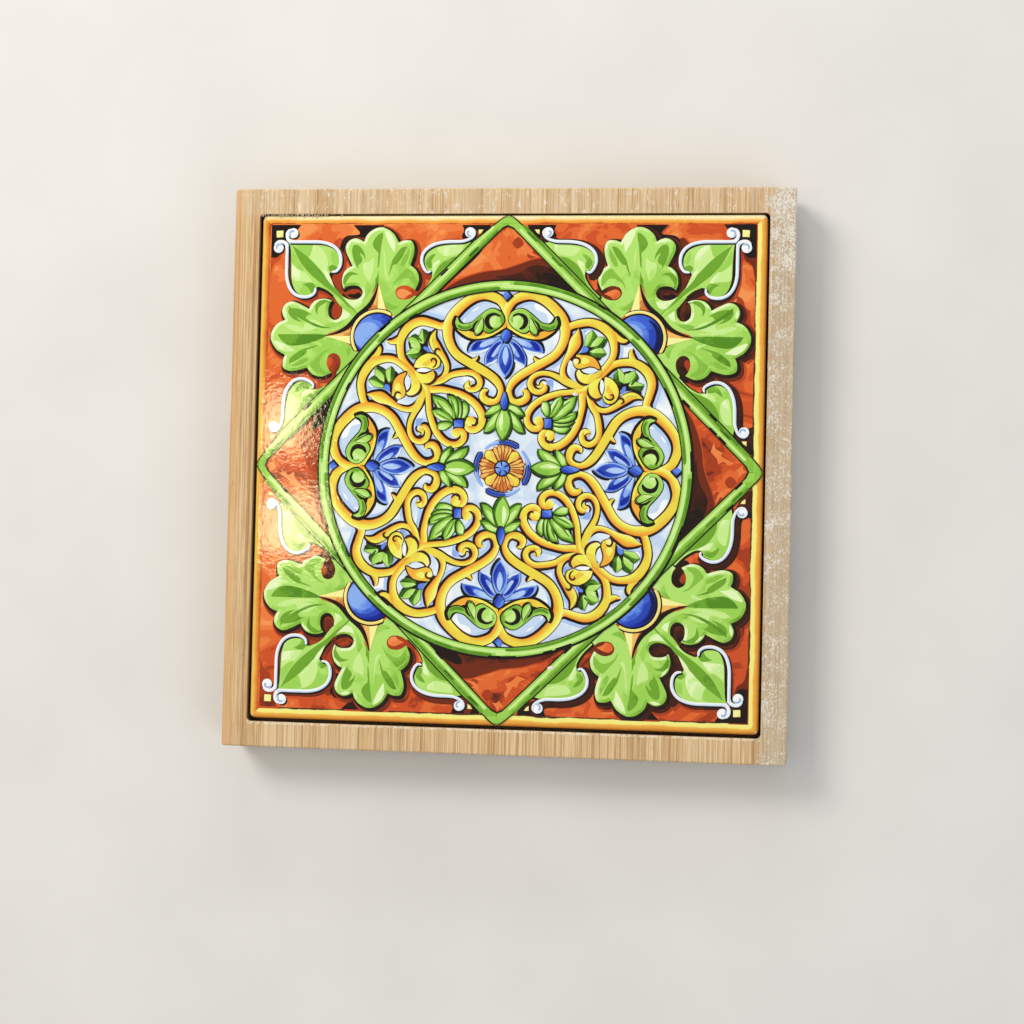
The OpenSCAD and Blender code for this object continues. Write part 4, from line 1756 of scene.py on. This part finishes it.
    def chips(self) -> bpy.types.Object:
        """The two small spots where the glaze is chipped.

        Returns:
            Their piece.
        """
        p = Painter("glaze_chips", (-0.7, 0.7), LEVEL_CHIPS)
        p.area(BARE, "192,225! 201,228 210,224! 211,220 202,218! 196,220")
        p.area(BARE, "138,-574! 148,-570 158,-573! 156,-580 146,-582! 140,-579")
        return p.done()


@dataclass(frozen=True)
class BambooFinish:
    """Carbonised bamboo with its grain along Y, sealed but worn at its edges, with painted shade deep in the
    tile's pocket.

    A pair of numbers says where, in millimetres, an effect is absent and where it is full.
    """

    name: str
    chart: Stops
    line: float = 0.5
    strip_w: float = 166.4 / 28
    board_half: float = 83.2
    pocket: Point = (75.82, 75.65)
    # Heights where the painted shade in the pocket is absent and where it is full.
    pocket_shade_z: Point = (15.5, 14.2)
    back_rail: Point = (74.5, 76.0)
    right_rail: Point = (72.5, 78.5)
    left_edge: Point = (-79.5, -82.0)
    drift_in: Point = (80.0, 76.0)
    drift_back: Point = (40.0, 75.0)
    lying: Point = (9.0, 15.0)
    lip_across: Point = (75.8, 75.4)
    lip_front: Point = (-76.6, -76.1)
    lip_back: Point = (-75.2, -75.6)

    def material(self) -> bpy.types.Material:
        """Builds the finish.

        Returns:
            The material.
        """
        made, graph, shader = new_material(self.name)
        spot = graph.place()
        x, y, z = graph.split(spot)
        grain = graph.group(long_grain(), {"Line": self.line})
        from_left = graph.plus(x, self.board_half)
        strip = graph.math("FLOOR", graph.math("DIVIDE", from_left, self.strip_w))
        own = graph.node("ShaderNodeTexWhiteNoise", {"W": strip}, noise_dimensions="1D").outputs["Value"]
        tone = graph.plus(grain.outputs["Tone"], graph.times(graph.minus(own, 0.5), 0.05))
        colour = graph.mix(grain.outputs["Lines"], graph.ramp(tone, self.chart), "9A6A38")
        seam = graph.step(graph.math("PINGPONG", from_left, self.strip_w / 2), 0.1, 0.02)
        colour = graph.mix(graph.times(seam, 0.45), colour, "7E5A34")
        colour, powder = self.worn(graph, colour, (x, y, z))
        ends = graph.size(graph.split(graph.node("ShaderNodeTexCoord").outputs["Normal"])[1])
        cut = graph.node("ShaderNodeTexVoronoi", {"Vector": spot, "Scale": 1.5}).outputs["Distance"]
        fresh = graph.mix(own, "CBA674", "DBBC8E")
        pore = graph.mix(graph.times(graph.step(cut, 0.32, 0.16), 0.5), fresh, "8A6236")
        colour = graph.mix(graph.times(graph.step(ends, 0.8, 0.95), graph.minus(1.0, seam)), colour, pore)
        # Painted shade: the bamboo deep in the tile's pocket is mixed towards dark brown, standing in for the
        # shade in the gap round the tile.
        inside = graph.step(graph.math("MAXIMUM", graph.size(x), graph.size(y)), *self.pocket)
        deep = graph.times(inside, graph.step(z, *self.pocket_shade_z))
        colour = graph.mix(graph.times(deep, 0.8), colour, "3A2410")
        graph.feed(shader.inputs["Base Color"], colour)
        rough = graph.scaled(grain.outputs["Tone"], 0.18, 0.42)
        graph.feed(shader.inputs["Roughness"], graph.plus(rough, graph.times(powder, 0.3)))
        graph.feed(shader.inputs["Normal"], graph.bump(grain.outputs["Height"], 0.45, 0.00022))
        return made

    def worn(self, graph: Graph, colour: Socket, spot: tuple[Socket, ...]) -> tuple[Socket, Socket]:
        """The washed back rail, the grey right rail and its powder, the frayed front lip and specks.

        Args:
            graph: the material's graph.
            colour: the sound bamboo.
            spot: X, Y and Z in millimetres.

        Returns:
            The worn colour, and the powder's mask.
        """
        x, y, z = spot
        back_rail = graph.step(y, *self.back_rail)
        pale = graph.noise(graph.place((0.35, 0.06, 0.35)), 1.0, 3.0, 0.6)
        washed = graph.scaled(graph.step(pale, 0.42, 0.62), 0.35, 0.1)
        colour = graph.mix(graph.times(back_rail, washed), colour, "DCC8A8")
        scuff = graph.noise(graph.place((0.8, 0.3, 0.8), (5.0, 0.0, 0.0)), 1.0, 4.0, 0.75)
        scuffed = graph.times(back_rail, graph.times(graph.step(scuff, 0.57, 0.65), 0.75))
        colour = graph.mix(scuffed, colour, "EEE8DC")
        ragged = graph.noise(graph.place((0.3, 0.3, 0.3)), 1.0, 4.0, 0.7)
        right_rail = graph.step(graph.scaled(graph.minus(ragged, 0.5), 14.0, x), *self.right_rail)
        colour = graph.mix(graph.times(right_rail, 0.6), colour, "B3A792")
        colour = graph.mix(graph.times(graph.step(x, *self.left_edge), 0.5), colour, "D09A5C")
        amount = graph.plus(graph.scaled(graph.step(x, *self.drift_in), 0.16, 0.3),
                            graph.times(graph.step(y, *self.drift_back), 0.16))
        dust = graph.group(settled_dust(), {"Amount": graph.times(right_rail, amount)}).outputs["Mask"]
        lying = graph.scaled(graph.step(z, *self.lying), 0.5, 0.3)
        powder = graph.times(graph.times(dust, graph.math("MAXIMUM", right_rail, 0.12)), lying)
        colour = graph.mix(powder, colour, "EDEAE2")
        lip = graph.times(graph.step(graph.size(x), *self.lip_across),
                          graph.times(graph.step(y, *self.lip_front), graph.step(y, *self.lip_back)))
        chipped = graph.step(graph.noise(graph.place((0.9, 0.9, 0.9)), 1.0, 3.0, 0.7), 0.42, 0.55)
        colour = graph.mix(graph.times(graph.times(lip, chipped), 0.75), colour, "EFE3CC")
        speck = graph.step(graph.noise(graph.place((1.6, 0.5, 1.6)), 1.0, 2.0, 0.8), 0.7, 0.76)
        return graph.mix(graph.times(speck, 0.6), colour, "4A3018"), powder


@dataclass
class Board:
    """The laminated bamboo board: finishes for the CAD strips, and the fibres torn loose at one corner."""

    light: BambooFinish = field(default_factory=lambda: BambooFinish("Bamboo light", (
        (0.36, "B08D60"), (0.45, "CAA67A"), (0.52, "DABB8E"), (0.59, "E4C9A0"), (0.68, "ECD8B4"))))
    dark: BambooFinish = field(default_factory=lambda: BambooFinish("Bamboo toasted", (
        (0.36, "A88454"), (0.45, "C49F6F"), (0.52, "D5B385"), (0.59, "DFC194"), (0.68, "E8D1AA")), 0.62))
    splinters: int = 70
    splinter_r: Point = (0.13, 0.02)
    torn_from: Point = (-75.8, 75.3)
    torn_to: Point = (-50.0, 76.1)
    torn_most: float = -72.0
    torn_z: float = 15.72

    def dress(self) -> int:
        """Gives every strip its finish.

        Returns:
            How many strips there are.
        """
        pale, toasted = self.light.material(), self.dark.material()
        strips = sorted(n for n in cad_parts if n.startswith("bamboo_strip_"))
        for i, node in enumerate(strips):
            give_finish(node, toasted if i % 3 == 1 else pale)
        return len(strips)

    def fibres(self) -> bpy.types.Object:
        """Torn fibres that stand at the pocket's left back corner.

        Returns:
            Their piece.
        """
        rng = random.Random(11)
        bm = bmesh.new()
        for _ in range(self.splinters):
            made = bmesh.ops.create_cone(bm, cap_ends=True, segments=5, radius1=self.splinter_r[0] * MM,
                                         radius2=self.splinter_r[1] * MM, depth=rng.uniform(0.8, 2.2) * MM)
            verts = made["verts"]
            bmesh.ops.scale(bm, vec=(1.0, 0.55, 1.0), verts=verts)
            tilt = Vector((rng.uniform(-0.9, 0.9), 1.0, rng.uniform(-0.02, 0.03))).to_track_quat("Z", "Y")
            bmesh.ops.rotate(bm, cent=(0, 0, 0), matrix=tilt.to_matrix(), verts=verts)
            x = rng.triangular(self.torn_from[0], self.torn_to[0], self.torn_most)
            y = rng.uniform(self.torn_from[1], self.torn_to[1])
            bmesh.ops.translate(bm, vec=(x * MM, y * MM, self.torn_z * MM), verts=verts)
        return mesh_piece("torn_fibres", bm, torn_fibre())


def torn_fibre() -> bpy.types.Material:
    """Pale torn bamboo fibre.

    Returns:
        The material.
    """
    made, graph, shader = new_material("Torn fibre")
    fine = graph.noise(graph.place((3.0, 0.6, 3.0)), 1.0, 3.0, 0.6)
    graph.feed(shader.inputs["Base Color"], graph.ramp(fine, ((0.3, "C9A878"), (0.7, "F0E2C6"))))
    graph.feed(shader.inputs["Normal"], graph.bump(fine, 0.4, 0.0001))
    shader.inputs["Roughness"].default_value = 0.75
    return made


def give_finish(node: str, finish: bpy.types.Material) -> None:
    """Puts a finish in every material slot of a CAD node.

    Args:
        node: the node's name.
        finish: its material.
    """
    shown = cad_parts[node]
    if not shown.material_slots:
        shown.data.materials.append(finish)
    for slot in shown.material_slots:
        slot.material = finish


@dataclass(frozen=True)
class PlainFinish:
    """A quiet finish of mottled colour with a fine surface."""

    name: str
    chart: Stops
    rough: tuple[float, float]
    mottle: float
    pit: float
    depth: float
    dust: float = 0.0

    def material(self) -> bpy.types.Material:
        """Builds the finish.

        Returns:
            The material.
        """
        made, graph, shader = new_material(self.name)
        broad = graph.noise(graph.place(), self.mottle, 4.0, 0.6)
        fine = graph.noise(graph.place(), self.pit, 3.0, 0.65)
        colour = graph.ramp(graph.plus(graph.times(broad, 0.65), graph.times(fine, 0.35)), self.chart)
        if self.dust:
            layer = graph.group(settled_dust(), {"Amount": self.dust})
            colour = graph.mix(graph.times(layer.outputs["Mask"], 0.5), colour, "B9B4AB")
        graph.feed(shader.inputs["Base Color"], colour)
        smooth_end, rough_end = self.rough
        graph.feed(shader.inputs["Roughness"], graph.scaled(fine, rough_end - smooth_end, smooth_end))
        graph.feed(shader.inputs["Normal"], graph.bump(fine, 0.5, self.depth))
        return made


@dataclass
class Underside:
    """What carries the tile and the board: the tile's body, its adhesive and the four feet."""

    biscuit: PlainFinish = PlainFinish("Fired biscuit", (
        (0.35, "C9A48C"), (0.5, "D8B9A2"), (0.65, "E4CDB9")), (0.75, 0.95), 0.12, 1.6, 0.0002, 0.15)
    adhesive: PlainFinish = PlainFinish("Cured adhesive", (
        (0.35, "BDB39C"), (0.5, "CEC5AE"), (0.65, "DCD5C2")), (0.35, 0.6), 0.2, 0.9, 0.0003)
    rubber: PlainFinish = PlainFinish("Moulded rubber", (
        (0.35, "1E1E20"), (0.5, "29292B"), (0.65, "353537")), (0.5, 0.8), 0.25, 2.4, 0.00012, 0.35)
    disc: PlainFinish = PlainFinish("Foot adhesive", (
        (0.35, "CFCBBF"), (0.5, "DEDACE"), (0.65, "E9E6DC")), (0.3, 0.5), 0.3, 1.4, 0.0001)

    def dress(self) -> None:
        """Gives the hidden nodes their finishes."""
        give_finish("tile_body", self.biscuit.material())
        give_finish("tile_adhesive", self.adhesive.material())
        rubber, disc = self.rubber.material(), self.disc.material()
        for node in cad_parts:
            if node.startswith("foot_disc_"):
                give_finish(node, disc)
            elif node.startswith("foot_"):
                give_finish(node, rubber)


@dataclass
class Studio:
    """The floor, the camera at the photograph's angle and the soft light."""

    focal_px: float = 1839.0
    frame_px: float = 1024.0
    sensor: float = 36.0
    eye: Point = (74.8, -27.1, 548.3)
    axis: Point = (-0.1345, 0.0279, -0.9905)
    up: Point = (-0.0193, 0.9993, 0.0307)
    window: tuple[Point, ...] = ((-208.8, 53.4, 32.0, 37.0), (-202.8, -6.5, 44.0, 39.0))
    window_light: float = 25.0
    window_tint: str = "F4E8B2"

    def floor(self) -> None:
        """A wide pale floor, which isn't part of the object."""
        bm = bmesh.new()
        bmesh.ops.create_grid(bm, x_segments=1, y_segments=1, size=3.0)
        mesh = bpy.data.meshes.new("floor")
        bm.to_mesh(mesh)
        bm.free()
        ground = bpy.data.objects.new("floor", mesh)
        bpy.context.scene.collection.objects.link(ground)
        made, graph, shader = new_material("Pale floor")
        tone = graph.noise(graph.place(), 0.02, 3.0, 0.5)
        graph.feed(shader.inputs["Base Color"], graph.ramp(tone, ((0.3, "DEDDDA"), (0.7, "E4E3E0"))))
        shader.inputs["Roughness"].default_value = 0.9
        shader.inputs["Specular IOR Level"].default_value = 0.1
        mesh.materials.append(made)

    def camera(self) -> None:
        """The camera, from the photograph's perspective."""
        data = bpy.data.cameras.new("camera")
        data.sensor_width = self.sensor
        data.lens = self.sensor * self.focal_px / self.frame_px
        data.clip_start, data.clip_end = 0.01, 20.0
        eye = bpy.data.objects.new("camera", data)
        bpy.context.scene.collection.objects.link(eye)
        back = -Vector(self.axis).normalized()
        right = Vector(self.up).cross(back).normalized()
        turn = Matrix((right, back.cross(right), back)).transposed().to_4x4()
        eye.matrix_world = Matrix.Translation(Vector(self.eye) * MM) @ turn
        bpy.context.scene.camera = eye

    def lamp(self, name: str, spot: Point, aim: Point, size: Point, power: float, tint: str = "FFFFFF",
             mirrored: bool = True) -> None:
        """One area lamp, with its places in millimetres.

        Args:
            name: the lamp's name.
            spot: where it is.
            aim: where it points.
            size: its two sides.
            power: in watts.
            tint: its written colour.
            mirrored: whether a gloss shows it.
        """
        data = bpy.data.lights.new(name, "AREA")
        data.shape = "RECTANGLE"
        data.size, data.size_y = size[0] * MM, size[1] * MM
        data.energy = power
        data.color = linear(tint)[:3]
        lamp = bpy.data.objects.new(name, data)
        bpy.context.scene.collection.objects.link(lamp)
        lamp.location = Vector(spot) * MM
        lamp.visible_glossy = mirrored
        lamp.rotation_mode = "QUATERNION"
        lamp.rotation_quaternion = (Vector(aim) - Vector(spot)).to_track_quat("-Z", "Y")

    def lights(self) -> None:
        """Soft light from the left and back, a weak fill and the two window panes that the glaze mirrors."""
        self.lamp("key", (-700.0, 650.0, 900.0), (0.0, 0.0, 0.0), (500.0, 500.0), 9.0, "FFF8EE", False)
        self.lamp("fill", (900.0, -500.0, 800.0), (0.0, 0.0, 0.0), (700.0, 700.0), 3.0, "F4F8FF", False)
        for i, (x, y, wide, high) in enumerate(self.window):
            power = self.window_light * math.pi * wide * high * MM * MM
            self.lamp(f"pane_{i}", (x, y, self.eye[2]), (x, y, 0.0), (wide, high), power, self.window_tint)
        self.lamp("rim_strip", (0.0, 620.0, 240.0), (0.0, 75.0, 15.0), (320.0, 60.0), 0.8)
        world = bpy.data.worlds.new("soft room")
        bpy.context.scene.world = world
        world.use_nodes = True
        back = next(n for n in world.node_tree.nodes if n.type == "BACKGROUND")
        back.inputs["Color"].default_value = (1.0, 1.0, 1.0, 1.0)
        back.inputs["Strength"].default_value = 0.5

    def build(self) -> None:
        """Sets up the stage."""
        self.camera()
        self.floor()
        self.lights()
        view = bpy.context.scene.view_settings
        view.view_transform = "Standard"


def main() -> None:
    """Builds every piece in order and reports it."""
    logging.basicConfig(level=logging.INFO, format="%(name)s: %(message)s")
    Studio().build()
    board = Board()
    log.info("dressed %d bamboo strips", board.dress())
    Underside().dress()
    log.info("built %s", board.fibres().name)
    glaze = GlazeCap()
    pieces = [glaze.build(), *Corners().build(), *Medallion().build(), Rosette().build(), *Bands().build(),
              glaze.chips()]
    for piece in pieces:
        log.info("built %s with %d faces", piece.name, len(piece.data.polygons))


if __name__ == "__main__":
    main()
